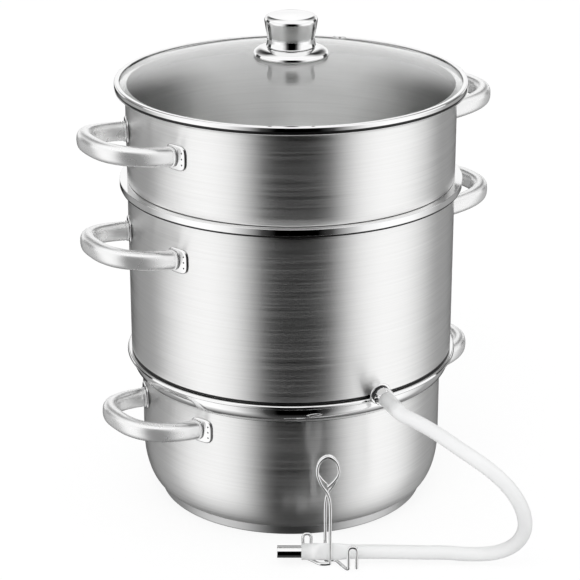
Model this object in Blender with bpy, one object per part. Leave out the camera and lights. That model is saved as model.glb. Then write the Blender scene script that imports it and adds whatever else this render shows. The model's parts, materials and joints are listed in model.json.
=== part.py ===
"""Steam juicer: a water pan, a juice kettle with a drain hose, a perforated fruit basket and a glass lid.

Metres, +Z up. The origin is the centre of the pan's underside. The handles point along X, and the
spout along -Y. Names: left is -X, right is +X, front is -Y and back is +Y.
"""

import math

import bmesh
import bpy
from mathutils import Matrix, Vector

# Clearances and working values
GAP = 0.0003  # between pieces that touch
OVERRUN = 0.004  # how far a cutter runs past what it cuts
MERGE = 0.000005
SIDES = 40  # around the pots
FINE_SIDES = 24  # around the knob and the funnel
SMALL_SIDES = 16  # around tubes and washers

# Sheet steel
SHEET = 0.0008
NEST_PLAY = 0.0009  # between the nesting ring and the neck that it drops into
PRESS_ROUND = 0.0018  # of a pressed corner
HEM_ROUND = 0.0006  # of a rolled edge

# The one wall that the kettle and the basket share, and what the pan keeps to it
BODY_RADIUS = 0.131
NECK_STEP = 0.0007  # of the pan's neck inside that wall

# Pan
BASE_HEIGHT = 0.0077
BASE_BEVEL = 0.0014
BASE_OVERLAP = 0.0008  # of the disc beyond the pan's flat floor
CAP_SHEET = 0.0006
PAN_CORNER_RUN = 0.015
PAN_CORNER_RISE = 0.037
PAN_CORNER_STEPS = 7
PAN_CREASE_DROP = 0.0178  # of the crease under the rim
PAN_FLARE = 0.0076  # from the wall out to the neck
PAN_NECK_DROP = 0.0068
PAN_LIP_REACH = 0.0042
PAN_LIP_DROP = 0.0030
PAN_HEIGHT = 0.1228

# Kettle
NEST_DEPTH = 0.005
KETTLE_HEIGHT = 0.1444  # above the pan's rim
KETTLE_LIP_REACH = 0.006
KETTLE_LIP_DROP = 0.0050
KETTLE_LIP_SHEET = 0.0012

# Steam funnel
FLOOR_HOLE_RADIUS = 0.043
FUNNEL_FOOT_RADIUS = 0.052
FUNNEL_SHOULDER_RADIUS = 0.044
FUNNEL_NECK_RADIUS = 0.023
FUNNEL_CONE_HEIGHT = 0.050
FUNNEL_HEIGHT = 0.068
FUNNEL_LIP = 0.0012

# Basket
BASKET_HEIGHT = 0.0736  # above the kettle's rim
BASKET_LIP_REACH = 0.0085
BASKET_LIP_HEIGHT = 0.0020
BASKET_DEPTH = 0.065  # how far the basket hangs inside the kettle
BASKET_CORNER = 0.014
STEAM_HOLE_RADIUS = 0.0024
STEAM_HOLE_PITCH = 0.025
STEAM_HOLE_RINGS = 4
STEAM_HOLE_SIDES = 6
SIDE_HOLES = 12
SIDE_HOLE_RISE = 0.024

# Lid
RIM_INSET = 0.0002  # inside the basket's lip
RIM_HEIGHT = 0.0053
RIM_ROUND = 0.0016
RIM_SHEET = 0.0007
SKIRT_PLAY = 0.0005  # between the skirt and the basket's wall
SKIRT_DEPTH = 0.006
GLASS_INSET = 0.0030  # from the rim's edge to the glass's
GLASS_THICKNESS = 0.003
GLASS_RISE = 0.021
GLASS_STEPS = 6
GLASS_BITE = 0.0009  # how far the rim reaches over the glass
VENT_INSET = 0.0253  # from the glass's edge
VENT_ANGLE = math.radians(38.7)
VENT_HOLE_RADIUS = 0.0036
EYELET_BORE_RADIUS = 0.0019
EYELET_FLANGE_RADIUS = 0.0052
EYELET_FLANGE_HEIGHT = 0.0009

# Knob
SCREW_RADIUS = 0.0025
SCREW_HEAD_RADIUS = 0.0048
SCREW_HEAD_HEIGHT = 0.0030
SCREW_BITE = 0.012  # length of the screw inside the knob
WASHER_RADIUS = 0.012
WASHER_HEIGHT = 0.0015
FLANGE_RADIUS = 0.0297
FLANGE_EDGE = 0.0012
FLANGE_HEIGHT = 0.0055
FLANGE_NECK_RADIUS = 0.0180
KNOB_FOOT_RADIUS = 0.0195
KNOB_WAIST_RADIUS = 0.0188
KNOB_RADIUS = 0.0209
KNOB_HEIGHT = 0.0258
KNOB_ROUND = 0.0042
KNOB_CROWN = 0.0012

# Handles: an oval tube bent in a flat loop, and the plates that it is welded to
TUBE_HALF_WIDTH = 0.006
TUBE_HALF_HEIGHT = 0.0075
TUBE_SIDES = 10
TUBE_STEPS = 16
LOOP_POWER = 2.6  # how square the loop is; 2 is an ellipse
LEG_SPREAD = 0.039  # from the middle of a handle to either leg
HANDLE_TILT = math.radians(6.5)  # upwards, away from the pot
PAN_TURN = math.radians(5)  # of the pan under the kettle
BODY_HANDLE_REACH = 0.0490  # from the wall to the far side of the tube
PAN_HANDLE_REACH = 0.0485
PAN_HANDLE_DROP = 0.0348  # of the legs' middle under the rim
KETTLE_HANDLE_DROP = 0.0380
BASKET_HANDLE_DROP = 0.0296
PLATE_THICKNESS = 0.0012
PLATE_INWARD = 0.007  # from the leg's centre towards the middle of the handle
PLATE_OUTWARD = 0.0135
PLATE_HALF_HEIGHT = 0.010
PLATE_WIDTH_SHARES = (0.0, 0.1, 0.4, 0.75, 0.92, 1.0)
PLATE_HEIGHT_SHARES = (0.85, 1.0, 1.0, 1.0, 0.88, 0.5)

# Spout, along its own axis, which starts where it meets the kettle's wall
SPOUT_RISE = 0.0060  # of the axis above the pan's rim
SPOUT_TILT = math.radians(10)
SPOUT_RADIUS = 0.0045
SPOUT_BORE_RADIUS = 0.0036
SPOUT_INSIDE = 0.007
SPOUT_LENGTH = 0.0325
SPOUT_FLANGE_START = 0.0058
SPOUT_FLANGE_RADIUS = 0.009
SPOUT_FLANGE_HEIGHT = 0.0018
SPOUT_SEAL_RADIUS = 0.0072
SPOUT_SEAL_HEIGHT = 0.0012
SPOUT_NUT_RADIUS = 0.0078
SPOUT_NUT_HEIGHT = 0.006
NUT_SIDES = 6

# Hose
HOSE_RADIUS = 0.0055
HOSE_BEVEL_RESOLUTION = 2
HOSE_STEP = 0.013
CUFF_WALL = 0.0014
DRAIN_RADIUS = 0.00475
DRAIN_BORE_RADIUS = 0.00415
DRAIN_SHOWN = 0.0188
CUFF_LENGTH = 0.009
# The hose's route from the spout to the clamp, which ends straight in line with the clamp's hose axis
HOSE_ROUTE = (
    (0.0000, -0.1636, 0.1231),
    (0.0000, -0.1695, 0.1220),
    (0.0029, -0.1796, 0.1210),
    (0.0065, -0.1914, 0.1194),
    (0.0099, -0.2035, 0.1171),
    (0.0134, -0.2152, 0.1141),
    (0.0176, -0.2263, 0.1104),
    (0.0230, -0.2362, 0.1058),
    (0.0294, -0.2446, 0.0997),
    (0.0364, -0.2509, 0.0919),
    (0.0432, -0.2547, 0.0824),
    (0.0494, -0.2560, 0.0718),
    (0.0547, -0.2548, 0.0606),
    (0.0588, -0.2514, 0.0492),
    (0.0610, -0.2458, 0.0382),
    (0.0611, -0.2386, 0.0281),
    (0.0588, -0.2300, 0.0196),
    (0.0541, -0.2208, 0.0134),
    (0.0470, -0.2117, 0.0099),
    (0.0375, -0.2034, 0.0087),
    (0.0255, -0.1954, 0.0094),
    (0.0104, -0.1873, 0.0098),
    (-0.0045, -0.1788, 0.0102),
    (-0.0194, -0.1702, 0.0105),
    (-0.0335, -0.16195, 0.0105),
)

# Clamp, in a frame of its own: +X back along the hose, +Y away from the photographer, Z up
CLAMP_PLACE = (-0.0540, -0.1501, 0.0)
CLAMP_TURN = math.radians(-30)
HOSE_AXIS_Z = 0.0105
PINCH_LENGTH_BACK = 0.0234
PINCH_LENGTH_FRONT = 0.0110
PINCH_FLAT = 0.0032  # half the length that the two stems press flat
PINCH_HALF_WIDTH = 0.0015
PINCH_HALF_HEIGHT = 0.0075
PINCH_STEPS = 6
PINCH_SIDES = 12
WIRE_RADIUS = 0.0012
WIRE_BEVEL_RESOLUTION = 1
WIRE_STEP = 0.0030
STEM_OFFSET = 0.0018  # of the front stem, along the hose
STEM_FOOT_Z = 0.004
STEM_TOP_Z = 0.050
CROSS_Z = 0.060
EYE_HALF_WIDTH = 0.0083
EYE_MIDDLE_Z = 0.079
EYE_TOP_Z = 0.092
EYE_INNER_Z = 0.0665
BAR_TURN = 0.006  # where a bar leaves the pinch and heads for its finger loop
FRONT_LOOP_X = 0.0159
FRONT_LOOP_Y = -0.013
BACK_LOOP_X = -0.0190
BACK_LOOP_Y = 0.0095
FINGER_LOOP_WIDTH = 0.0063
FINGER_LOOP_HEIGHT = 0.0200

# Sizes that follow from those above
PAN_FLOOR_Z = BASE_HEIGHT
PAN_NECK_RADIUS = BODY_RADIUS - NECK_STEP
PAN_LIP_RADIUS = PAN_NECK_RADIUS + PAN_LIP_REACH
PAN_RADIUS = PAN_NECK_RADIUS - PAN_FLARE
PAN_FLAT_RADIUS = PAN_RADIUS - PAN_CORNER_RUN
BASE_RADIUS = PAN_FLAT_RADIUS + BASE_OVERLAP
KETTLE_LIP_RADIUS = BODY_RADIUS + KETTLE_LIP_REACH
BASKET_LIP_RADIUS = BODY_RADIUS + BASKET_LIP_REACH
RIM_RADIUS = BASKET_LIP_RADIUS - RIM_INSET
SKIRT_RADIUS = BODY_RADIUS - SHEET - SKIRT_PLAY
GLASS_RADIUS = RIM_RADIUS - GLASS_INSET
VENT_REACH = GLASS_RADIUS - VENT_INSET
NECK_INNER_RADIUS = PAN_NECK_RADIUS - SHEET
NEST_RADIUS = NECK_INNER_RADIUS - NEST_PLAY
PAN_RIM_Z = PAN_HEIGHT
PAN_CREASE_Z = PAN_RIM_Z - PAN_CREASE_DROP
PAN_NECK_Z = PAN_RIM_Z - PAN_NECK_DROP
KETTLE_SEAT_Z = PAN_RIM_Z + GAP
KETTLE_FLOOR_Z = KETTLE_SEAT_Z - NEST_DEPTH
KETTLE_RIM_Z = KETTLE_SEAT_Z + KETTLE_HEIGHT
BASKET_SEAT_Z = KETTLE_RIM_Z + GAP
BASKET_FLOOR_Z = BASKET_SEAT_Z - BASKET_DEPTH
BASKET_RIM_Z = BASKET_SEAT_Z + BASKET_HEIGHT
LID_SEAT_Z = BASKET_RIM_Z + GAP
LID_TOP_Z = LID_SEAT_Z + RIM_HEIGHT
GLASS_EDGE_Z = LID_SEAT_Z + RIM_SHEET + GAP
GLASS_SPHERE = (GLASS_RADIUS**2 + GLASS_RISE**2) / (2 * GLASS_RISE)
GLASS_TOP_Z = GLASS_EDGE_Z + GLASS_THICKNESS + GLASS_RISE
KNOB_Z = GLASS_TOP_Z + GAP + FLANGE_HEIGHT + GAP
SPOUT_Z = PAN_RIM_Z + SPOUT_RISE
BRACKET_FACE = GAP + PLATE_THICKNESS

COLOURS = {
    "steel_satin": ((0.62, 0.62, 0.61), 0.34, 1.0),
    "steel_polished": ((0.74, 0.74, 0.74), 0.14, 1.0),
    "aluminium": ((0.78, 0.78, 0.79), 0.40, 1.0),
    "glass": ((0.86, 0.90, 0.88), 0.05, 0.0),
    "silicone_clear": ((0.88, 0.89, 0.88), 0.35, 0.0),
    "silicone_dark": ((0.05, 0.05, 0.05), 0.55, 0.0),
}


def material(name):
    """The Principled material of one finish, made once."""
    found = bpy.data.materials.get(name)
    if found:
        return found
    colour, rough, metal = COLOURS[name]
    made = bpy.data.materials.new(name)
    made.use_nodes = True
    shader = made.node_tree.nodes["Principled BSDF"]
    shader.inputs["Base Color"].default_value = (*colour, 1.0)
    shader.inputs["Roughness"].default_value = rough
    shader.inputs["Metallic"].default_value = metal
    return made


def add_object(name, data, finish):
    """Link a mesh or curve to the scene as one named piece."""
    piece = bpy.data.objects.new(name, data)
    bpy.context.scene.collection.objects.link(piece)
    data.materials.append(material(finish))
    return piece


def finish_mesh(name, bm, finish, smooth=True):
    """Turn a bmesh into a piece with its faces pointing out."""
    bmesh.ops.remove_doubles(bm, verts=bm.verts, dist=MERGE)
    bmesh.ops.recalc_face_normals(bm, faces=bm.faces)
    mesh = bpy.data.meshes.new(name)
    bm.to_mesh(mesh)
    bm.free()
    if smooth:
        mesh.shade_smooth()
        mesh.set_sharp_from_angle(angle=math.radians(30))
    return add_object(name, mesh, finish)


def turned(name, outline, finish, sides=SIDES):
    """Spin a closed outline of (radius, height) points round Z."""
    bm = bmesh.new()
    verts = [bm.verts.new((radius, 0, height)) for radius, height in outline]
    edges = [bm.edges.new((a, b)) for a, b in zip(verts, verts[1:] + verts[:1])]
    bmesh.ops.spin(
        bm, geom=verts + edges, cent=(0, 0, 0), axis=(0, 0, 1), angle=math.tau, steps=sides, use_merge=True
    )
    bmesh.ops.remove_doubles(bm, verts=bm.verts, dist=MERGE)
    on_axis = [v for v in bm.verts if v.co.xy.length < MERGE]
    lone_edges = [e for e in bm.edges if not e.link_faces]
    bmesh.ops.delete(bm, geom=lone_edges, context="EDGES")
    for vert in [v for v in on_axis if v.is_valid]:
        heights = [other.co.z for edge in vert.link_edges for other in edge.verts]
        if max(heights) - min(heights) < MERGE:
            bmesh.ops.dissolve_verts(bm, verts=[vert])
    return finish_mesh(name, bm, finish)


def ring_outline(inner, outer, low, high):
    """A plain ring's outline."""
    return [(outer, low), (outer, high), (inner, high), (inner, low)]


def arc(centre, half_width, half_height, start, end, steps):
    """Points along an elliptical arc in an outline, from one angle in degrees to another."""
    points = []
    for step in range(steps + 1):
        angle = math.radians(start + (end - start) * step / steps)
        points.append((centre[0] + half_width * math.cos(angle), centre[1] + half_height * math.sin(angle)))
    return points


def skinned(name, rings, finish):
    """Bridge rings of points in turn and close both ends."""
    bm = bmesh.new()
    loops = [[bm.verts.new(point) for point in ring] for ring in rings]
    for low, high in zip(loops, loops[1:]):
        for k in range(len(low)):
            following = (k + 1) % len(low)
            bm.faces.new((low[k], low[following], high[following], high[k]))
    bm.faces.new(loops[0])
    bm.faces.new(loops[-1])
    return finish_mesh(name, bm, finish)


def smooth_line(points, step):
    """Points about one step apart on a Catmull-Rom curve through the given points."""
    points = [Vector(p) for p in points]
    padded = [2 * points[0] - points[1], *points, 2 * points[-1] - points[-2]]
    line = [points[0]]
    for i in range(1, len(padded) - 2):
        before, start, end, after = padded[i - 1 : i + 3]
        count = max(1, round((end - start).length / step))
        for k in range(1, count + 1):
            t = k / count
            bend = 2 * before - 5 * start + 4 * end - after
            twist = 3 * start - before - 3 * end + after
            line.append((2 * start + (end - before) * t + bend * t**2 + twist * t**3) / 2)
    return line


def wire(name, points, radius, resolution, finish):
    """A round tube with closed ends along a line of points."""
    curve = bpy.data.curves.new(name, "CURVE")
    curve.dimensions = "3D"
    curve.bevel_depth = radius
    curve.bevel_resolution = resolution
    curve.use_fill_caps = True
    spline = curve.splines.new("POLY")
    spline.points.add(len(points) - 1)
    for spot, point in zip(spline.points, points):
        spot.co = point.to_4d()
    return add_object(name, curve, finish)


def cut(piece, cutters):
    """Cut pieces out of another with a Boolean each, and keep the cutters out of the model."""
    for cutter in cutters:
        modifier = piece.modifiers.new(cutter.name, "BOOLEAN")
        modifier.operation = "DIFFERENCE"
        modifier.solver = "EXACT"
        modifier.object = cutter
        cutter.hide_render = True
        cutter.display_type = "WIRE"


def placed(piece, matrix):
    """Put a piece, made round its own origin, in its place."""
    piece.matrix_world = matrix
    return piece


def make_pan():
    """The water pan with its sandwich base."""
    corner_z = PAN_FLOOR_Z + PAN_CORNER_RISE
    corner = arc((PAN_FLAT_RADIUS, corner_z), PAN_CORNER_RUN, PAN_CORNER_RISE, -90, 0, PAN_CORNER_STEPS)
    inner = arc(
        (PAN_FLAT_RADIUS, corner_z), PAN_CORNER_RUN - SHEET, PAN_CORNER_RISE - SHEET, 0, -90, PAN_CORNER_STEPS
    )
    lip_z = PAN_RIM_Z - PAN_LIP_DROP
    lip_round = PAN_LIP_DROP / 3
    outline = [
        (0, PAN_FLOOR_Z),
        *corner,
        (PAN_RADIUS, PAN_CREASE_Z),
        (PAN_NECK_RADIUS, PAN_NECK_Z),
        (PAN_NECK_RADIUS + SHEET, lip_z - SHEET),
        (PAN_LIP_RADIUS - SHEET, lip_z),
        (PAN_LIP_RADIUS, lip_z + lip_round),
        (PAN_LIP_RADIUS - lip_round, PAN_RIM_Z),
        (PAN_NECK_RADIUS - SHEET / 2, PAN_RIM_Z),
        (NECK_INNER_RADIUS, PAN_RIM_Z - SHEET),
        (NECK_INNER_RADIUS, PAN_NECK_Z + SHEET),
        (PAN_RADIUS - SHEET, PAN_CREASE_Z + SHEET),
        *inner,
        (0, PAN_FLOOR_Z + SHEET),
    ]
    turned("pan_body", outline, "steel_satin")
    inside = BASE_RADIUS - CAP_SHEET
    cap = [
        (0, 0),
        (BASE_RADIUS - BASE_BEVEL, 0),
        (BASE_RADIUS, BASE_BEVEL),
        (BASE_RADIUS, BASE_HEIGHT - GAP),
        (inside, BASE_HEIGHT - GAP),
        (inside, BASE_BEVEL),
        (inside - BASE_BEVEL + CAP_SHEET, CAP_SHEET),
        (0, CAP_SHEET),
    ]
    turned("base_cap", cap, "steel_polished")
    core_radius = inside - GAP
    core_low = CAP_SHEET + GAP
    core = [
        (0, core_low),
        (core_radius - BASE_BEVEL, core_low),
        (core_radius, BASE_BEVEL + GAP),
        (core_radius, PAN_FLOOR_Z - GAP),
        (0, PAN_FLOOR_Z - GAP),
    ]
    turned("base_core", core, "aluminium")


def spout_matrix(distance=0):
    """The frame of the spout, +Z outwards along it, that far from the kettle's wall."""
    along = Vector((0, -math.cos(SPOUT_TILT), -math.sin(SPOUT_TILT)))
    place = Vector((0, -BODY_RADIUS, SPOUT_Z)) + along * distance
    return Matrix.Translation(place) @ along.to_track_quat("Z", "Y").to_matrix().to_4x4()


def make_kettle():
    """The juice kettle: a wall with a nesting step below and a curled lip above, and its steam funnel."""
    inner_radius = BODY_RADIUS - SHEET
    nest_inner = NEST_RADIUS - SHEET
    lip_low = KETTLE_RIM_Z - KETTLE_LIP_DROP
    outline = [
        (FLOOR_HOLE_RADIUS, KETTLE_FLOOR_Z),
        (NEST_RADIUS - PRESS_ROUND, KETTLE_FLOOR_Z),
        (NEST_RADIUS, KETTLE_FLOOR_Z + PRESS_ROUND),
        (NEST_RADIUS, KETTLE_SEAT_Z),
        (BODY_RADIUS, KETTLE_SEAT_Z),
        (BODY_RADIUS, KETTLE_RIM_Z - 3 * KETTLE_LIP_SHEET),
        ((BODY_RADIUS + KETTLE_LIP_RADIUS) / 2, lip_low + KETTLE_LIP_SHEET / 2),
        (KETTLE_LIP_RADIUS - HEM_ROUND, lip_low - KETTLE_LIP_SHEET / 2),
        (KETTLE_LIP_RADIUS, lip_low + KETTLE_LIP_SHEET / 2),
        ((BODY_RADIUS + 2 * KETTLE_LIP_RADIUS) / 3, KETTLE_RIM_Z - KETTLE_LIP_SHEET),
        (BODY_RADIUS + 2 * HEM_ROUND, KETTLE_RIM_Z),
        (inner_radius, KETTLE_RIM_Z),
        (inner_radius, KETTLE_SEAT_Z + SHEET),
        (nest_inner, KETTLE_SEAT_Z + SHEET),
        (nest_inner, KETTLE_FLOOR_Z + PRESS_ROUND),
        (nest_inner - PRESS_ROUND, KETTLE_FLOOR_Z + SHEET),
        (FLOOR_HOLE_RADIUS, KETTLE_FLOOR_Z + SHEET),
    ]
    kettle = turned("kettle_body", outline, "steel_satin")
    hole_length = SPOUT_INSIDE + OVERRUN
    hole = turned(
        "spout_hole", rod_outline(SPOUT_RADIUS + GAP, -hole_length, OVERRUN), "steel_satin", SMALL_SIDES
    )
    cut(kettle, [placed(hole, spout_matrix())])
    foot = KETTLE_FLOOR_Z + SHEET + GAP
    neck = FUNNEL_NECK_RADIUS
    funnel = [
        (FUNNEL_FOOT_RADIUS, foot),
        (FUNNEL_FOOT_RADIUS, foot + SHEET),
        (FUNNEL_SHOULDER_RADIUS + SHEET, foot + SHEET),
        (neck, foot + FUNNEL_CONE_HEIGHT),
        (neck, foot + FUNNEL_HEIGHT - FUNNEL_LIP),
        (neck + FUNNEL_LIP, foot + FUNNEL_HEIGHT - FUNNEL_LIP),
        (neck + FUNNEL_LIP, foot + FUNNEL_HEIGHT),
        (neck - SHEET, foot + FUNNEL_HEIGHT),
        (neck - SHEET, foot + FUNNEL_CONE_HEIGHT),
        (FUNNEL_SHOULDER_RADIUS, foot),
    ]
    turned("steam_funnel", funnel, "steel_satin", FINE_SIDES)


def rod_outline(radius, low, high):
    """A plain rod's outline."""
    return [(0, low), (radius, low), (radius, high), (0, high)]


def make_spout():
    """The outlet tube and what is threaded on it outside the kettle."""
    tube = ring_outline(SPOUT_BORE_RADIUS, SPOUT_RADIUS, -SPOUT_INSIDE, SPOUT_LENGTH)
    placed(turned("spout_tube", tube, "steel_polished", SMALL_SIDES), spout_matrix())
    bore = SPOUT_RADIUS + GAP
    start = SPOUT_FLANGE_START
    stack = (
        ("spout_flange", SPOUT_FLANGE_RADIUS, SPOUT_FLANGE_HEIGHT, "steel_polished", SMALL_SIDES),
        ("spout_seal", SPOUT_SEAL_RADIUS, SPOUT_SEAL_HEIGHT, "silicone_dark", SMALL_SIDES),
        ("spout_nut", SPOUT_NUT_RADIUS, SPOUT_NUT_HEIGHT, "steel_polished", NUT_SIDES),
    )
    for name, radius, height, finish, sides in stack:
        if sides == NUT_SIDES:
            piece = turned(name, rod_outline(radius, 0, height), finish, sides)
            bore_outline = rod_outline(bore, -OVERRUN, height + OVERRUN)
            bore_cutter = turned(name + "_bore", bore_outline, finish, SMALL_SIDES)
            cut(piece, [placed(bore_cutter, spout_matrix(start))])
        else:
            piece = turned(name, ring_outline(bore, radius, 0, height), finish, sides)
        placed(piece, spout_matrix(start))
        start += height + GAP
    cuff = ring_outline(bore, bore + CUFF_WALL, 0, SPOUT_LENGTH + GAP - start)
    placed(turned("hose_cuff_spout", cuff, "silicone_clear", SMALL_SIDES), spout_matrix(start))


def make_basket():
    """The fruit basket: a plain wall above its seat, and a perforated part that hangs in the kettle."""
    inner_radius = BODY_RADIUS - SHEET
    nest_inner = NEST_RADIUS - SHEET
    lip_low = BASKET_RIM_Z - BASKET_LIP_HEIGHT
    flat = NEST_RADIUS - BASKET_CORNER
    outer_corner = arc((flat, BASKET_FLOOR_Z + BASKET_CORNER), BASKET_CORNER, BASKET_CORNER, -90, 0, 3)
    small = BASKET_CORNER - SHEET
    inner_corner = arc((flat, BASKET_FLOOR_Z + BASKET_CORNER), small, small, 0, -90, 3)
    outline = [
        (0, BASKET_FLOOR_Z),
        *outer_corner,
        (NEST_RADIUS, BASKET_SEAT_Z),
        (BODY_RADIUS, BASKET_SEAT_Z),
        (BODY_RADIUS, lip_low - SHEET),
        (BODY_RADIUS + 2 * SHEET, lip_low),
        (BASKET_LIP_RADIUS - HEM_ROUND, lip_low),
        (BASKET_LIP_RADIUS, BASKET_RIM_Z - BASKET_LIP_HEIGHT / 2),
        (BASKET_LIP_RADIUS - HEM_ROUND, BASKET_RIM_Z),
        (BODY_RADIUS, BASKET_RIM_Z),
        (inner_radius, BASKET_RIM_Z - SHEET),
        (inner_radius, BASKET_SEAT_Z + SHEET),
        (nest_inner, BASKET_SEAT_Z + SHEET),
        *inner_corner,
        (0, BASKET_FLOOR_Z + SHEET),
    ]
    basket = turned("basket_body", outline, "steel_satin")
    cut(basket, [floor_punch(), side_punch()])


def add_prism(bm, matrix, radius, length, sides):
    """Add a closed prism along Z to a bmesh."""
    bmesh.ops.create_cone(
        bm, cap_ends=True, segments=sides, radius1=radius, radius2=radius, depth=length, matrix=matrix
    )


def floor_punch():
    """A cutter for the steam holes in the basket's floor, in rings of six more each."""
    bm = bmesh.new()
    height = 2 * OVERRUN
    middle = BASKET_FLOOR_Z + SHEET / 2
    for ring in range(STEAM_HOLE_RINGS + 1):
        count = max(1, STEAM_HOLE_SIDES * ring)
        for k in range(count):
            turn = Matrix.Rotation(math.tau * k / count, 4, "Z")
            place = turn @ Vector((ring * STEAM_HOLE_PITCH, 0, middle))
            add_prism(bm, Matrix.Translation(place), STEAM_HOLE_RADIUS, height, STEAM_HOLE_SIDES)
    return finish_mesh("floor_punch", bm, "steel_satin", smooth=False)


def side_punch():
    """A cutter for the row of steam holes in the basket's lower wall."""
    bm = bmesh.new()
    lying = Matrix.Rotation(math.pi / 2, 4, "Y")
    for k in range(SIDE_HOLES):
        turn = Matrix.Rotation(math.tau * (k + 1 / 2) / SIDE_HOLES, 4, "Z")
        place = Matrix.Translation((NEST_RADIUS, 0, BASKET_FLOOR_Z + SIDE_HOLE_RISE))
        add_prism(bm, turn @ place @ lying, STEAM_HOLE_RADIUS, 2 * OVERRUN, STEAM_HOLE_SIDES)
    return finish_mesh("side_punch", bm, "steel_satin", smooth=False)


def glass_height(radius):
    """The height of the glass's upper surface at a radius."""
    return GLASS_TOP_Z - GLASS_SPHERE + math.sqrt(GLASS_SPHERE**2 - radius**2)


def make_lid():
    """The steel rim with the glass held in it, and the vent."""
    groove = GLASS_RADIUS + GAP
    glass_edge_top = GLASS_EDGE_Z + GLASS_THICKNESS
    lip_inner = GLASS_RADIUS - GLASS_BITE
    lip_low = glass_height(lip_inner) + GAP
    rim = [
        (SKIRT_RADIUS, LID_SEAT_Z - SKIRT_DEPTH),
        (SKIRT_RADIUS, LID_SEAT_Z),
        (RIM_RADIUS - RIM_ROUND / 2, LID_SEAT_Z),
        (RIM_RADIUS, LID_SEAT_Z + RIM_ROUND),
        (RIM_RADIUS - RIM_ROUND / 2, LID_TOP_Z - RIM_ROUND / 2),
        (RIM_RADIUS - RIM_ROUND, LID_TOP_Z),
        (lip_inner, lip_low + RIM_SHEET),
        (lip_inner, lip_low),
        (groove, glass_edge_top + GAP),
        (groove, GLASS_EDGE_Z - GAP),
        (SKIRT_RADIUS - RIM_SHEET, GLASS_EDGE_Z - GAP),
        (SKIRT_RADIUS - RIM_SHEET, LID_SEAT_Z - SKIRT_DEPTH),
    ]
    turned("lid_rim", rim, "steel_polished")
    bore = SCREW_RADIUS + GAP
    radii = [bore + (GLASS_RADIUS - bore) * k / GLASS_STEPS for k in range(GLASS_STEPS + 1)]
    upper = [(radius, glass_height(radius)) for radius in radii]
    lower = [(radius, height - GLASS_THICKNESS) for radius, height in reversed(upper)]
    glass = turned("lid_glass", upper + lower, "glass")
    slope = math.asin(VENT_REACH / GLASS_SPHERE)
    top = Vector((VENT_REACH, 0, glass_height(VENT_REACH)))
    vent = Matrix.Rotation(VENT_ANGLE, 4, "Z") @ Matrix.Translation(top) @ Matrix.Rotation(slope, 4, "Y")
    hole_outline = rod_outline(VENT_HOLE_RADIUS, -2 * GLASS_THICKNESS, GLASS_THICKNESS)
    hole = turned("vent_hole", hole_outline, "glass", SMALL_SIDES)
    cut(glass, [placed(hole, vent)])
    tube = VENT_HOLE_RADIUS - GAP
    low = -GLASS_THICKNESS - GAP
    flange = EYELET_FLANGE_RADIUS
    rise = EYELET_FLANGE_HEIGHT
    eyelet = [
        (EYELET_BORE_RADIUS, low - rise),
        (flange, low - rise),
        (flange, low),
        (tube, low),
        (tube, GAP),
        (flange, GAP),
        (flange - rise / 2, GAP + rise),
        (EYELET_BORE_RADIUS, GAP + rise),
    ]
    placed(turned("vent_eyelet", eyelet, "steel_polished", SMALL_SIDES), vent)


def make_knob():
    """The knob, its domed flange, and the screw and washer that hold it from under the glass."""
    bore = SCREW_RADIUS + GAP
    low = glass_height(bore) + GAP
    edge = glass_height(FLANGE_RADIUS) + GAP
    top = GLASS_TOP_Z + GAP + FLANGE_HEIGHT
    flange = [
        (bore, low),
        (FLANGE_RADIUS, edge),
        (FLANGE_RADIUS, edge + FLANGE_EDGE),
        ((FLANGE_RADIUS + FLANGE_NECK_RADIUS) / 2, top - FLANGE_EDGE),
        (FLANGE_NECK_RADIUS, top),
        (bore, top),
    ]
    turned("knob_base", flange, "steel_polished", FINE_SIDES)
    knob_top = KNOB_Z + KNOB_HEIGHT
    shoulder = arc(
        (KNOB_RADIUS - KNOB_ROUND, knob_top - KNOB_CROWN - KNOB_ROUND), KNOB_ROUND, KNOB_ROUND, 0, 90, 3
    )
    knob = [
        (bore, KNOB_Z),
        (KNOB_FOOT_RADIUS, KNOB_Z),
        (KNOB_WAIST_RADIUS, KNOB_Z + KNOB_HEIGHT / 3),
        *shoulder,
        (0, knob_top),
        (0, KNOB_Z + SCREW_BITE + GAP),
        (bore, KNOB_Z + SCREW_BITE + GAP),
    ]
    turned("knob", knob, "steel_polished", FINE_SIDES)
    washer_top = glass_height(WASHER_RADIUS) - GLASS_THICKNESS - GAP
    washer_low = washer_top - WASHER_HEIGHT
    turned(
        "knob_washer",
        ring_outline(bore, WASHER_RADIUS, washer_low, washer_top),
        "silicone_clear",
        SMALL_SIDES,
    )
    head_top = washer_low - GAP
    screw = [
        (0, head_top - SCREW_HEAD_HEIGHT),
        (SCREW_HEAD_RADIUS, head_top - SCREW_HEAD_HEIGHT),
        (SCREW_HEAD_RADIUS, head_top),
        (SCREW_RADIUS, head_top),
        (SCREW_RADIUS, KNOB_Z + SCREW_BITE),
        (0, KNOB_Z + SCREW_BITE),
    ]
    turned("knob_screw", screw, "steel_polished", SMALL_SIDES)


def loop_line(wall, reach):
    """The middle line of a handle's tube on the +X side, from the front leg to the back one."""
    face = wall + BRACKET_FACE + GAP
    start = math.sqrt(face**2 - LEG_SPREAD**2)
    depth = wall + reach - TUBE_HALF_WIDTH - start
    line = []
    for step in range(TUBE_STEPS + 1):
        angle = math.pi * step / TUBE_STEPS
        across = math.copysign(abs(math.cos(angle)) ** (2 / LOOP_POWER), math.cos(angle))
        out = abs(math.sin(angle)) ** (2 / LOOP_POWER)
        line.append(Vector((start + depth * out, -LEG_SPREAD * across, depth * out * math.tan(HANDLE_TILT))))
    return line, face


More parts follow.
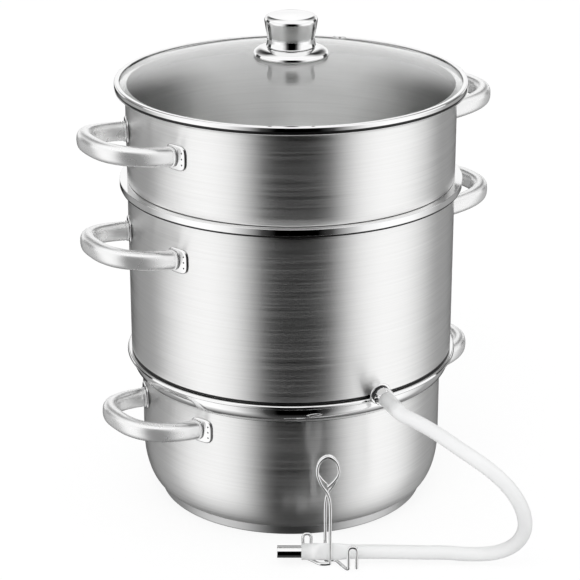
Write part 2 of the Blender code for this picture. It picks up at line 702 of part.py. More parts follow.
def make_handle(name, wall, reach, height, turn):
    """One oval tube, bent in a flat loop, whose ends are cut to the curve of its plates."""
    line, face = loop_line(wall, reach)
    rings = []
    for i, place in enumerate(line):
        along = (line[min(i + 1, TUBE_STEPS)] - line[max(i - 1, 0)]).normalized()
        if i in (0, TUBE_STEPS):
            along = Vector((math.copysign(1, TUBE_STEPS / 2 - i), 0, 0))
        side = along.cross(Vector((0, 0, 1)))
        ring = []
        for k in range(TUBE_SIDES):
            angle = math.tau * (k + 1 / 2) / TUBE_SIDES
            offset = side * math.cos(angle) * TUBE_HALF_WIDTH
            point = place + offset + Vector((0, 0, math.sin(angle) * TUBE_HALF_HEIGHT))
            if i in (0, TUBE_STEPS):
                point.x = math.sqrt(face**2 - point.y**2)
            ring.append(point)
        rings.append(ring)
    handle = skinned(name, rings, "steel_polished")
    placed(handle, Matrix.Translation((0, 0, height)) @ Matrix.Rotation(turn, 4, "Z"))


def make_bracket(name, wall, height, turn, end):
    """One plate, rolled to the wall's curve, beyond a handle's leg; end is 1 or -1 across the handle."""
    width = PLATE_INWARD + PLATE_OUTWARD
    inner = wall + GAP
    rings = []
    for width_share, height_share in zip(PLATE_WIDTH_SHARES, PLATE_HEIGHT_SHARES):
        angle = math.asin(LEG_SPREAD / wall) + (width_share * width - PLATE_INWARD) / wall
        half = height_share * PLATE_HALF_HEIGHT
        outer = inner + PLATE_THICKNESS
        corners = ((inner, -half), (outer, -half), (outer, half), (inner, half))
        ring = [(r * math.cos(angle), end * r * math.sin(angle), z) for r, z in corners]
        rings.append(ring)
    bracket = skinned(name, rings, "steel_polished")
    placed(bracket, Matrix.Translation((0, 0, height)) @ Matrix.Rotation(turn, 4, "Z"))


def make_handles():
    """The three pairs of handles, left and right."""
    pairs = (
        ("pan", PAN_RADIUS, PAN_HANDLE_REACH, PAN_RIM_Z - PAN_HANDLE_DROP),
        ("kettle", BODY_RADIUS, BODY_HANDLE_REACH, KETTLE_RIM_Z - KETTLE_HANDLE_DROP),
        ("basket", BODY_RADIUS, BODY_HANDLE_REACH, BASKET_RIM_Z - BASKET_HANDLE_DROP),
    )
    for pot, wall, reach, height in pairs:
        pot_turn = PAN_TURN if pot == "pan" else 0
        for side, side_turn in (("right", 0), ("left", math.pi)):
            turn = pot_turn + side_turn
            make_handle(f"{pot}_handle_{side}", wall, reach, height, turn)
            for end in (1, -1):
                back = (end > 0) == (side == "right")
                place = "back" if back else "front"
                make_bracket(f"{pot}_bracket_{side}_{place}", wall, height, turn, end)


def clamp_matrix():
    """The frame of the clamp and the hose's end."""
    return Matrix.Translation(CLAMP_PLACE) @ Matrix.Rotation(CLAMP_TURN, 4, "Z")


def hose_end_matrix(x):
    """The frame of a turned piece on the hose's end, +Z towards the open end, at that place along it."""
    return clamp_matrix() @ Matrix.Translation((x, 0, HOSE_AXIS_Z)) @ Matrix.Rotation(-math.pi / 2, 4, "Y")


def make_hose():
    """The free hose, the stretch that the clamp squeezes flat, the cuff and the steel drain tube."""
    wire("hose", smooth_line(HOSE_ROUTE, HOSE_STEP), HOSE_RADIUS, HOSE_BEVEL_RESOLUTION, "silicone_clear")
    rings = []
    front = [(-1, step / PINCH_STEPS) for step in range(PINCH_STEPS, -1, -1)]
    back = [(1, step / PINCH_STEPS) for step in range(PINCH_STEPS + 1)]
    for hand, share in front + back:
        length = PINCH_LENGTH_FRONT if hand < 0 else PINCH_LENGTH_BACK
        round_radius = DRAIN_RADIUS + GAP + CUFF_WALL if hand < 0 else HOSE_RADIUS
        squeeze = (1 + math.cos(math.pi * share)) / 2
        half_width = round_radius + (PINCH_HALF_WIDTH - round_radius) * squeeze
        half_height = round_radius + (PINCH_HALF_HEIGHT - round_radius) * squeeze
        along = hand * (PINCH_FLAT + (length - PINCH_FLAT) * share)
        ring = []
        for k in range(PINCH_SIDES):
            angle = math.tau * (k + 1 / 2) / PINCH_SIDES
            height = HOSE_AXIS_Z + half_height * math.sin(angle)
            ring.append((along, half_width * math.cos(angle), height))
        rings.append(ring)
    placed(skinned("hose_pinch", rings, "silicone_clear"), clamp_matrix())
    cuff_start = -PINCH_LENGTH_FRONT - GAP
    bore = DRAIN_RADIUS + GAP
    cuff = ring_outline(bore, bore + CUFF_WALL, 0, CUFF_LENGTH)
    placed(turned("hose_cuff_end", cuff, "silicone_clear", SMALL_SIDES), hose_end_matrix(cuff_start))
    tube = ring_outline(DRAIN_BORE_RADIUS, DRAIN_RADIUS, 0, CUFF_LENGTH + DRAIN_SHOWN)
    placed(turned("hose_end_tube", tube, "steel_polished", SMALL_SIDES), hose_end_matrix(cuff_start))


def finger_loop(x, y):
    """An upright loop of wire, from the far foot over to the foot where its bar starts."""
    width = FINGER_LOOP_WIDTH
    low = WIRE_RADIUS + GAP
    top = low + FINGER_LOOP_HEIGHT
    far = x + width
    shoulder = top - width / 2
    return [
        (far, y, low + WIRE_RADIUS),
        (far, y, low + FINGER_LOOP_HEIGHT / 2),
        (far, y, shoulder),
        (far - width / 4, y, top - width / 8),
        (x + width / 4, y, top - width / 8),
        (x, y, shoulder),
        (x, y, low + FINGER_LOOP_HEIGHT / 2),
        (x, y, low + 2 * WIRE_RADIUS),
    ]


def clamp_arm(name, hand, loop_x, loop_y):
    """One arm of the wire clamp; hand is -1 for the arm whose stem is in front of the hose, else 1."""
    low = WIRE_RADIUS + GAP
    stem_y = hand * (PINCH_HALF_WIDTH + GAP + WIRE_RADIUS)
    eye_y = hand * (WIRE_RADIUS + GAP / 2)
    stem_x = -hand * STEM_OFFSET
    width = EYE_HALF_WIDTH
    route = [
        *finger_loop(loop_x, loop_y),
        (loop_x + (hand * BAR_TURN - loop_x) / 8, loop_y + (stem_y - loop_y) / 8, low),
        (loop_x + (hand * BAR_TURN - loop_x) / 2, loop_y + (stem_y - loop_y) / 2, low),
        (hand * BAR_TURN, stem_y, low),
        (stem_x + hand * WIRE_RADIUS, stem_y, low),
        (stem_x, stem_y, STEM_FOOT_Z),
        (stem_x, stem_y, STEM_TOP_Z / 2),
        (stem_x, (stem_y + eye_y) / 2, STEM_TOP_Z),
        (0, eye_y, CROSS_Z),
        (hand * width * 2 / 3, eye_y, (CROSS_Z + EYE_MIDDLE_Z) / 2),
        (hand * width, eye_y, EYE_MIDDLE_Z),
        (hand * width * 3 / 4, eye_y, (EYE_MIDDLE_Z + 2 * EYE_TOP_Z) / 3),
        (0, eye_y, EYE_TOP_Z),
        (-hand * width * 3 / 4, eye_y, (EYE_MIDDLE_Z + 2 * EYE_TOP_Z) / 3),
        (-hand * width, eye_y, EYE_MIDDLE_Z),
        (-hand * width * 2 / 3, eye_y, (EYE_INNER_Z + EYE_MIDDLE_Z) / 2),
        (0, eye_y, EYE_INNER_Z),
    ]
    line = smooth_line(route, WIRE_STEP)
    placed(wire(name, line, WIRE_RADIUS, WIRE_BEVEL_RESOLUTION, "steel_polished"), clamp_matrix())


def make_clamp():
    """The sprung wire clamp: each stem passes under the hose to a finger loop on the other side."""
    clamp_arm("clamp_front", -1, BACK_LOOP_X, BACK_LOOP_Y)
    clamp_arm("clamp_rear", 1, FRONT_LOOP_X, FRONT_LOOP_Y)


for old in list(bpy.data.objects):
    bpy.data.objects.remove(old, do_unlink=True)
make_pan()
make_kettle()
make_spout()
make_basket()
make_lid()
make_knob()
make_handles()
make_hose()
make_clamp()
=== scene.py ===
"""The looks of a steam juicer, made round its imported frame: a pan, a kettle, a basket and a glass lid.

Metres, +Z up. The handles point along X and the spout along -Y. The photographer stands 30 degrees
to the left of the spout.
"""

import json
import math

import bmesh
import bpy
from mathutils import Matrix, Vector

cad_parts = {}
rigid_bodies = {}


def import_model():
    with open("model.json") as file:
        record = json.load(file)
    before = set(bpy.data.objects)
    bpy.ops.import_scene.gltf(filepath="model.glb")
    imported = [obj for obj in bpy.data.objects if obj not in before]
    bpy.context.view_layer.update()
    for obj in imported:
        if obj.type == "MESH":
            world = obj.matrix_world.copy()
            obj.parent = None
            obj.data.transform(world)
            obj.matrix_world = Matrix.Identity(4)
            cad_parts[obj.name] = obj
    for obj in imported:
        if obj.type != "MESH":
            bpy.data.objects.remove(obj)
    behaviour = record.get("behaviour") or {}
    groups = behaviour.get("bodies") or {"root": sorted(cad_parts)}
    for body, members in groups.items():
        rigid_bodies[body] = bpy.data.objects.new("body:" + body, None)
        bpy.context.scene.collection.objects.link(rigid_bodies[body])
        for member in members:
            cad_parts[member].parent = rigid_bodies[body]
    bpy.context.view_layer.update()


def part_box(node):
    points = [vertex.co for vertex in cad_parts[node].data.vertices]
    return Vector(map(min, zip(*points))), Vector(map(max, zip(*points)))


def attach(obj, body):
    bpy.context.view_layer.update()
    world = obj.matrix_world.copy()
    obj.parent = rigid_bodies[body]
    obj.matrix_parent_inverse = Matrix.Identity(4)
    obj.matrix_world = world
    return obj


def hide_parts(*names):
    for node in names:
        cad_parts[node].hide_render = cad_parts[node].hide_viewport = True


for old in list(bpy.data.objects):
    bpy.data.objects.remove(old, do_unlink=True)
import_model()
collection = bpy.context.scene.collection

# Camera
# A long lens that looks down on the pots from the left of the spout. The picture is square, and the
# pots' axis stands one pixel to the right of its middle.
PICTURE_PIXELS = 580
FOCAL_PIXELS = 2100
AXIS_PIXELS_RIGHT = 1
SENSOR_WIDTH = 36  # in Blender's millimetres
CAMERA_TURN = math.radians(-30)
CAMERA_RISE = math.radians(20.93)
CAMERA_DISTANCE = 1.7186
AIM_HEIGHT = 0.1676


def placed(name, data, z_axis=None):
    """A new object in the scene, with its Z axis turned a given way."""
    made = bpy.data.objects.new(name, data)
    collection.objects.link(made)
    if z_axis is not None:
        made.rotation_mode = "QUATERNION"
        made.rotation_quaternion = z_axis.to_track_quat("Z", "Y")
    return made


to_camera_flat = Vector((math.sin(CAMERA_TURN), -math.cos(CAMERA_TURN), 0))
to_camera = to_camera_flat * math.cos(CAMERA_RISE) + Vector((0, 0, math.sin(CAMERA_RISE)))
camera = placed("camera", bpy.data.cameras.new("camera"), to_camera)
camera.data.sensor_width = SENSOR_WIDTH
camera.data.lens = SENSOR_WIDTH * FOCAL_PIXELS / PICTURE_PIXELS
camera_right = camera.rotation_quaternion @ Vector((1, 0, 0))
pixel_width = CAMERA_DISTANCE / FOCAL_PIXELS
camera.location = Vector((0, 0, AIM_HEIGHT)) + to_camera * CAMERA_DISTANCE
camera.location -= camera_right * pixel_width * AXIS_PIXELS_RIGHT
bpy.context.scene.camera = camera
bpy.context.scene.view_settings.view_transform = "Standard"

# Studio
# A tent of light that only the steel and the glass mirror. It is open in front of the pots, where the
# photographer stands, has dark gaps behind them, and is brightest at their sides and above them.
FILL = 0.90  # the level at which the tent lights what isn't shiny
TENT = 1.12
# Each band of the tent from below upwards: the sine of the heights between which it takes over from
# the band under it, the degrees that its middle stands to the photographer's right, and its grey levels
# by degrees away from there
TENT_BANDS = (
    (None, 4, (
        (0, 0.0), (14, 0.0), (23, 0.05), (33, 0.42), (45, 0.85), (62, 1.03), (84, 0.97),
        (100, 0.66), (112, 0.34), (140, 0.30), (150, 0.16), (160, 0.02), (180, 0.02),
    )),
    ((-0.12, -0.06), 4, (
        (0, 0.0), (14, 0.0), (23, 0.08), (34, 0.60), (46, 0.95),
        (110, 0.95), (111.5, 0.02), (135, 0.05), (136.5, 0.90), (180, 0.90),
    )),
    ((0.20, 0.42), 0, (
        (0, 0.0), (14, 0.02), (24, 0.40), (36, 0.90), (110, 0.90),
        (140, 0.30), (162, 0.08), (166, 0.12), (173, 0.95), (180, 1.0),
    )),
    ((0.46, 0.60), -1, (
        (0, 1.0), (100, 1.0), (135, 0.30), (150, 0.03), (164, 0.03), (171, 0.90), (180, 1.0),
    )),
)
TENT_ENDS = (((0.72, 0.92), 0.95), ((-0.62, -0.98), 0.05))  # one grey each, overhead and underfoot
FLOOR_RADIUS = 8.0
FLOOR_PAINT = 0.85
FLOOR_SHADOW_SHARE = 0.22
FLOOR_GLOW = 1.07
LAMP_PLACE = (-1.6, -1.4, 2.4)
LAMP_WIDTH = 1.6
LAMP_WATTS = 16


class Wire:
    """An output in a node tree. Sums on it add Math nodes, and make() adds any other node."""

    def __init__(self, tree, socket=None):
        self.tree = tree
        self.socket = socket

    def make(self, kind, inputs=None, settings=None, output=0):
        """Add a node: its settings, and the values or links of its sockets."""
        node = self.tree.nodes.new(kind)
        for name, value in (settings or {}).items():
            setattr(node, name, value)
        for name, value in (inputs or {}).items():
            if isinstance(value, Wire):
                self.tree.links.new(value.socket, node.inputs[name])
            else:
                node.inputs[name].default_value = value
        return Wire(self.tree, node.outputs[output] if node.outputs else None)

    def other(self, output):
        """Another output of the same node."""
        return Wire(self.tree, self.socket.node.outputs[output])

    def maths(self, operation, *values):
        return self.make("ShaderNodeMath", dict(enumerate(values)), {"operation": operation})

    def __add__(self, other):
        return self.maths("ADD", self, other)

    def __radd__(self, other):
        return self.maths("ADD", other, self)

    def __mul__(self, other):
        return self.maths("MULTIPLY", self, other)

    def __truediv__(self, other):
        return self.maths("DIVIDE", self, other)

    def between(self, first, last):
        """A share from 0 to 1 as this goes from first to last."""
        return self.make("ShaderNodeMapRange", {"Value": self, "From Min": first, "From Max": last})

    def mixed(self, first, last):
        """A colour between two by this share."""
        return self.make("ShaderNodeMix", {0: self, 6: first, 7: last}, {"data_type": "RGBA"}, 2)


def grey(level):
    return (level, level, level, 1)


world = bpy.data.worlds.new("studio")
bpy.context.scene.world = world
world.use_nodes = True
world.cycles.sampling_method = "NONE"
world.node_tree.nodes.clear()
sky = Wire(world.node_tree)
across = sky.make("ShaderNodeSeparateXYZ", {0: sky.make("ShaderNodeTexCoord")})
up = across.other("Z")
flat = across.make("ShaderNodeCombineXYZ", {"X": across, "Y": across.other("Y"), "Z": 0.0})
flat = flat.make("ShaderNodeVectorMath", {0: flat}, {"operation": "NORMALIZE"})
for heights, turn, degrees_and_greys in TENT_BANDS:
    middle = Matrix.Rotation(math.radians(turn), 3, "Z") @ to_camera_flat
    facing = flat.make("ShaderNodeVectorMath", {0: flat, 1: middle}, {"operation": "DOT_PRODUCT"}, "Value")
    turn_share = facing.maths("ARCCOSINE", facing) / math.pi
    band = sky.make("ShaderNodeValToRGB", {0: turn_share})
    stops = band.socket.node.color_ramp.elements
    stops.remove(stops[-1])
    for i, (degrees, level) in enumerate(degrees_and_greys):
        stop = stops.new(degrees / 180) if i else stops[0]
        stop.position = degrees / 180
        stop.color = grey(level)
    tent = up.between(*heights).mixed(tent, band) if heights else band
for heights, level in TENT_ENDS:
    tent = up.between(*heights).mixed(tent, grey(level))
rays = sky.make("ShaderNodeLightPath")
mirrored = rays.maths("MAXIMUM", rays.other("Is Glossy Ray"), rays.other("Is Transmission Ray"))
fill_light = sky.make("ShaderNodeBackground", {"Color": grey(1), "Strength": FILL})
tent_light = sky.make("ShaderNodeBackground", {"Color": tent, "Strength": TENT})
backdrop = sky.make("ShaderNodeBackground", {"Color": grey(1), "Strength": 1.0})
light = sky.make("ShaderNodeMixShader", {0: mirrored, 1: fill_light, 2: tent_light})
light = sky.make("ShaderNodeMixShader", {0: rays.other("Is Camera Ray"), 1: light, 2: backdrop})
sky.make("ShaderNodeOutputWorld", {"Surface": light})

lamp = placed("soft_lamp", bpy.data.lights.new("soft_lamp", "AREA"), Vector(LAMP_PLACE))
lamp.data.energy = LAMP_WATTS
lamp.data.size = LAMP_WIDTH
lamp.location = LAMP_PLACE
lamp.visible_glossy = False


def new_material(name):
    """An empty node material and the wire that starts its tree."""
    made = bpy.data.materials.new(name)
    made.use_nodes = True
    made.node_tree.nodes.clear()
    return made, Wire(made.node_tree)


def end_material(shader):
    """Make a shader the look of its material."""
    shader.make("ShaderNodeOutputMaterial", {"Surface": shader})


floor_paint, start = new_material("floor_paint")
rays = start.make("ShaderNodeLightPath")
seen = rays.maths("MAXIMUM", rays.other("Is Camera Ray"), rays.other("Is Transmission Ray"))
paint = start.make("ShaderNodeBsdfDiffuse", {"Color": grey(FLOOR_PAINT)})
white = start.make("ShaderNodeEmission", {"Color": grey(1), "Strength": FLOOR_GLOW})
end_material(start.make("ShaderNodeMixShader", {0: seen * (1 - FLOOR_SHADOW_SHARE), 1: paint, 2: white}))
bm = bmesh.new()
bmesh.ops.create_circle(bm, cap_ends=True, radius=FLOOR_RADIUS, segments=64)
mesh = bpy.data.meshes.new("floor")
bm.to_mesh(mesh)
bm.free()
mesh.materials.append(floor_paint)
floor = placed("floor", mesh)
floor.visible_glossy = False

# Drain hose
# One piece of milky silicone tube, pushed over the steel spout at one end and over a steel drain
# tube at the other, and squeezed flat by the wire clamp, which holds its end just above the floor.
GAP = 0.0003
SHARP_DEGREES = 35  # between faces whose edge stays sharp
HOSE_RADIUS = 0.0055
HOSE_WALL = 0.0014
HOSE_SIDES = 32
HOSE_STEP = 0.003
SPOUT_ROOT = Vector((0, -0.131, 0.1288))
SPOUT_TILT = math.radians(10)
SPOUT_RADIUS = 0.0045
SPOUT_LENGTH = 0.0325
SPOUT_CUFF_START = 0.0157
CUFF_TAPER = 0.008
CUFF_CLEARNESS = 0.55  # how far the tubes inside show through the stretched ends
CLEAR_PAST_SPOUT = 0.004  # where that has faded out, past the end of each tube
CLEAR_PAST_DRAIN = 0.002
CUFF_TINT = 0.96
SILICONE_DARK = (0.95, 0.955, 0.955, 1)
SILICONE_LIGHT = (0.985, 0.99, 0.99, 1)
CLAMP_PLACE = (-0.0540, -0.1501, 0.0)
CLAMP_TURN = math.radians(-30)
HOSE_AXIS_Z = 0.0105
PINCH_LENGTH_BACK = 0.0234
PINCH_LENGTH_FRONT = 0.0110
PINCH_FLAT = 0.0032
PINCH_HALF_WIDTH = 0.0015
PINCH_HALF_HEIGHT = 0.0075
DRAIN_RADIUS = 0.00475
CUFF_LENGTH = 0.009
HOSE_ROUTE = (
    (0.0000, -0.1636, 0.1231), (0.0000, -0.1695, 0.1220), (0.0029, -0.1796, 0.1210),
    (0.0065, -0.1914, 0.1194), (0.0099, -0.2035, 0.1171), (0.0134, -0.2152, 0.1141),
    (0.0176, -0.2263, 0.1104), (0.0230, -0.2362, 0.1058), (0.0294, -0.2446, 0.0997),
    (0.0364, -0.2509, 0.0919), (0.0432, -0.2547, 0.0824), (0.0494, -0.2560, 0.0718),
    (0.0547, -0.2548, 0.0606), (0.0588, -0.2514, 0.0492), (0.0610, -0.2458, 0.0382),
    (0.0611, -0.2386, 0.0281), (0.0588, -0.2300, 0.0196), (0.0541, -0.2208, 0.0134),
    (0.0470, -0.2117, 0.0099), (0.0375, -0.2034, 0.0087), (0.0255, -0.1954, 0.0094),
    (0.0104, -0.1873, 0.0098), (-0.0045, -0.1788, 0.0102), (-0.0194, -0.1702, 0.0105),
    (-0.0335, -0.16195, 0.0105),
)

spout_along = Vector((0, -math.cos(SPOUT_TILT), -math.sin(SPOUT_TILT)))
clamp_frame = Matrix.Translation(CLAMP_PLACE) @ Matrix.Rotation(CLAMP_TURN, 4, "Z")


def as_mesh(name, made):
    """A plain mesh from a bmesh."""
    bmesh.ops.recalc_face_normals(made, faces=made.faces)
    mesh = bpy.data.meshes.new(name)
    made.to_mesh(mesh)
    made.free()
    return mesh


def add_piece(name, made, finish, body, *nodes, slot="steel_polished", edges=()):
    """Give a mesh or bmesh its finish, seat it on its body and hide the CAD nodes that it takes the place
    of.

    edges are the finishes of its edges, each with a test of a face's radius and height. The last counts.
    """
    mesh = as_mesh(name, made) if isinstance(made, bmesh.types.BMesh) else made
    mesh.shade_smooth()
    mesh.set_sharp_from_angle(angle=math.radians(SHARP_DEGREES))
    mesh.materials.clear()
    mesh.materials.append(finish)
    for i, (edge_finish, on_edge) in enumerate(edges):
        mesh.materials.append(edge_finish)
        for face in mesh.polygons:
            if on_edge(math.hypot(face.center.x, face.center.y), face.center.z):
                face.material_index = i + 1
    piece = placed(name, mesh)
    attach(piece, body)
    if nodes:
        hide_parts(*nodes)
    return piece


def skinned(rings, closed=False):
    """A bmesh with faces from each ring of points to the next. A ring of one point is a pole.

    Faces from the last ring to the first close it, or else one face on each end.
    """
    bm = bmesh.new()
    sides = max(len(ring) for ring in rings)
    loops = []
    for ring in rings:
        made = [bm.verts.new(point) for point in ring]
        loops.append(made * (sides // len(made)))
    for low, high in zip(loops, loops[1:] + (loops[:1] if closed else [])):
        for k in range(sides):
            following = (k + 1) % sides
            corners = list(dict.fromkeys((low[k], low[following], high[following], high[k])))
            if len(corners) > 2:
                bm.faces.new(corners)
    if not closed:
        bm.faces.new(loops[0])
        bm.faces.new(loops[-1])
    return bm


def smooth_line(points, step):
    """Points about one step apart on a Catmull-Rom curve through the given points."""
    points = [Vector(p) for p in points]
    padded = [2 * points[0] - points[1], *points, 2 * points[-1] - points[-2]]
    line = [points[0]]
    for i in range(1, len(padded) - 2):
        before, start, end, after = padded[i - 1 : i + 3]
        count = max(1, round((end - start).length / step))
        for k in range(1, count + 1):
            t = k / count
            bend = 2 * before - 5 * start + 4 * end - after
            twist = 3 * start - before - 3 * end + after
            line.append((2 * start + (end - before) * t + bend * t**2 + twist * t**3) / 2)
    return line


def straight(first, last, step):
    """Points a step or less apart from one place to another, without the last."""
    count = math.ceil((last - first).length / step)
    return [first.lerp(last, k / count) for k in range(count)]


def on_hose_end(x):
    """A place on the hose's straight end, in the clamp's frame."""
    return clamp_frame @ Vector((x, 0, HOSE_AXIS_Z))


def turns(steps):
    """The angles of a full turn in even steps."""
    return [math.tau * k / steps for k in range(steps)]


def swept_rings(line, sizes, sides):
    """Oval rings along a line, each with its half width across and its half height."""
    rings = []
    for i, place in enumerate(line):
        along = (line[min(i + 1, len(line) - 1)] - line[max(i - 1, 0)]).normalized()
        side = along.cross(Vector((0, 0, 1))).normalized()
        rise = side.cross(along)
        half_width, half_height = sizes[i]
        rings.append([
            place + side * math.cos(a) * half_width + rise * math.sin(a) * half_height for a in turns(sides)
        ])
    return rings


def blend_share(t):
    """An even ease from 0 to 1."""
    return (1 - math.cos(math.pi * min(max(t, 0), 1))) / 2


pinch_start, pinch_end = on_hose_end(PINCH_LENGTH_BACK), on_hose_end(-PINCH_LENGTH_FRONT)
hose_tip = on_hose_end(-PINCH_LENGTH_FRONT - GAP - CUFF_LENGTH)
cuff_start = SPOUT_ROOT + spout_along * SPOUT_CUFF_START
spout_cuff = straight(cuff_start, SPOUT_ROOT + spout_along * SPOUT_LENGTH, HOSE_STEP)
free_hose = smooth_line(HOSE_ROUTE, HOSE_STEP)
pinch_line = straight(pinch_start, pinch_end, HOSE_STEP / 3)
end_cuff = [*straight(pinch_end, hose_tip, HOSE_STEP), hose_tip]
spout_cuff_radius = SPOUT_RADIUS + GAP + HOSE_WALL
end_cuff_radius = DRAIN_RADIUS + GAP + HOSE_WALL
hose_line = spout_cuff + free_hose + pinch_line + end_cuff
hose_sizes = [(spout_cuff_radius, spout_cuff_radius)] * len(spout_cuff)
for place in free_hose:
    past_spout = (place - free_hose[0]).length / CUFF_TAPER
    radius = spout_cuff_radius + (HOSE_RADIUS - spout_cuff_radius) * blend_share(past_spout)
    hose_sizes.append((radius, radius))
for place in pinch_line:
    x = (clamp_frame.inverted() @ place).x
    length = PINCH_LENGTH_BACK if x > 0 else PINCH_LENGTH_FRONT
    round_radius = HOSE_RADIUS if x > 0 else end_cuff_radius
    squeeze = 1 - blend_share((abs(x) - PINCH_FLAT) / (length - PINCH_FLAT))
    half_width = round_radius + (PINCH_HALF_WIDTH - round_radius) * squeeze
    half_height = round_radius + (PINCH_HALF_HEIGHT - round_radius) * squeeze
    hose_sizes.append((half_width, half_height))
hose_sizes += [(end_cuff_radius, end_cuff_radius)] * len(end_cuff)
bore_sizes = [(width - HOSE_WALL, height - HOSE_WALL) for width, height in hose_sizes]


def speckle(start, scale, detail):
    """Noise that stays put on a piece."""
    place = start.make("ShaderNodeTexCoord", output="Object")
    return start.make("ShaderNodeTexNoise", {"Vector": place, "Scale": scale, "Detail": detail})


def principled(start, colour, roughness, more=None):
    """The shader of most finishes; more are the other sockets that a finish sets."""
    inputs = {"Base Color": colour, "Roughness": roughness, **(more or {})}
    return start.make("ShaderNodeBsdfPrincipled", inputs)


silicone, start = new_material("milky_silicone")
cloud = speckle(start, 90.0, 3.0)
scattering = {
    "IOR": 1.41,
    "Transmission Weight": 0.06,
    "Subsurface Weight": 0.20,
    "Subsurface Radius": (0.004, 0.004, 0.004),
}
milky = principled(start, cloud.mixed(SILICONE_DARK, SILICONE_LIGHT), 0.30 + cloud * 0.12, scattering)
place = start.make("ShaderNodeTexCoord", output="Object")
clearness = None
faded = ((SPOUT_ROOT, SPOUT_LENGTH + CLEAR_PAST_SPOUT), (hose_tip, CUFF_LENGTH + CLEAR_PAST_DRAIN))
for centre, reach in faded:
    ends = {0: place, 1: tuple(centre)}
    apart = place.make("ShaderNodeVectorMath", ends, {"operation": "DISTANCE"}, "Value")
    near = apart.between(reach, reach - CUFF_TAPER)
    clearness = near.maths("MAXIMUM", clearness, near) if clearness else near
clear = start.make("ShaderNodeBsdfTransparent", {"Color": grey(CUFF_TINT)})
end_material(start.make("ShaderNodeMixShader", {0: clearness * CUFF_CLEARNESS, 1: milky, 2: clear}))

outer_rings = swept_rings(hose_line, hose_sizes, HOSE_SIDES)
bore_rings = swept_rings(hose_line, bore_sizes, HOSE_SIDES)
hose = skinned(outer_rings + bore_rings[::-1], closed=True)
hose_nodes = ("hose", "hose_cuff_spout", "hose_pinch", "hose_cuff_end")
hose = add_piece("drain_hose", hose, silicone, "kettle", *hose_nodes, slot="silicone_clear")

# Steel finishes
# Stainless sheet, brushed round the pots in fine lines that catch the light along their length, and the
# same steel polished to a mirror for rims, plates and wire. The handles are buffed and the base is duller.
# The recesses where the pots meet and the pan's crease are painted near-black, as painted shade.
SATIN_DARK = (0.83, 0.83, 0.825, 1)
SATIN_LIGHT = (0.92, 0.92, 0.915, 1)
BRUSH_LINES_ACROSS = 1500.0
BRUSH_LINES_ALONG = 8.0
BRUSH_DEPTH = 0.0000015
POLISH_DARK = 0.87
POLISH_LIGHT = 0.92


def brush_marks(start, across, along):
    """Noise drawn out into lines round the Z axis, on walls and on floors alike."""
    x = start.make("ShaderNodeSeparateXYZ", {0: start.make("ShaderNodeTexCoord", output="Object")})
    y, z = x.other("Y"), x.other("Z")
    outwards = start.maths("SQRT", x * x + y * y)
    stretched = {"X": x * along, "Y": y * along, "Z": (z + outwards) * across}
    stretched = start.make("ShaderNodeCombineXYZ", stretched)
    return start.make("ShaderNodeTexNoise", {"Vector": stretched, "Scale": 1.0, "Detail": 2.0})


def polished_steel(name, roughness=0.07, shine=1.0, metal=1.0):
    """Steel polished to a mirror, or to less than one, with faint wipe marks."""
    made, start = new_material(name)
    wipe = speckle(start, 60.0, 4.0)
    colour = wipe.mixed(grey(POLISH_DARK * shine), grey(POLISH_LIGHT * shine))
    end_material(principled(start, colour, roughness * 0.8 + wipe * roughness * 0.4, {"Metallic": metal}))
    return made


satin, start = new_material("satin_steel")
fine = brush_marks(start, BRUSH_LINES_ACROSS, BRUSH_LINES_ALONG)
coarse = brush_marks(start, BRUSH_LINES_ACROSS / 2.6, BRUSH_LINES_ALONG * 1.7)
marks = fine * 0.6 + coarse * 0.4
contrast = marks.between(0.35, 0.65)
dents = start.make("ShaderNodeBump", {"Height": marks, "Distance": BRUSH_DEPTH})
brushed = {"Metallic": 1.0, "Anisotropic": 0.80, "Anisotropic Rotation": 0.25, "Normal": dents}
colour = contrast.mixed(SATIN_DARK, SATIN_LIGHT)
end_material(principled(start, colour, 0.28 + contrast * 0.10, brushed))
mirror = polished_steel("polished_steel")
buffed = polished_steel("buffed_steel", 0.28, 1.0, 0.72)
base_steel = polished_steel("base_steel", 0.30, 0.60)
# A near-black copy of polished steel: painted shade for the recesses between the pots and the pan's crease
painted_seam_shade = polished_steel("painted_seam_shade", 0.35, 0.04)

# Pan
# The lowest pot, pressed from one sheet with a flared neck and a rolled lip, on a sandwich base: an
# aluminium disc pressed under its floor and covered by a polished steel cap.
SHEET = 0.0008
TURN_STEPS = 192
ROUND_STEPS = 4
ROUND_SHARE = 0.45  # the most of an edge that a round corner takes up
HOLD = 0.0002  # from a round corner to the loop that keeps the flat beside it flat
WALL_RADIUS = 0.131
PAN_RADIUS = 0.1227
PAN_CORNER_RUN = 0.015
PAN_CORNER_RISE = 0.037
PAN_CORNER_STEPS = 20
PAN_CREASE_Z = 0.1050
PAN_NECK_RADIUS = 0.1303
PAN_NECK_Z = 0.1160
PAN_LIP_DROP = 0.0030
FLARE_STEPS = 10


def arc(centre, half_width, half_height, start, end, steps):
    """Points along an elliptical arc in an outline, from one angle in degrees to another."""
    points = []
    for step in range(steps + 1):
        angle = math.radians(start + (end - start) * step / steps)
        points.append((centre[0] + half_width * math.cos(angle), centre[1] + half_height * math.sin(angle)))
    return points


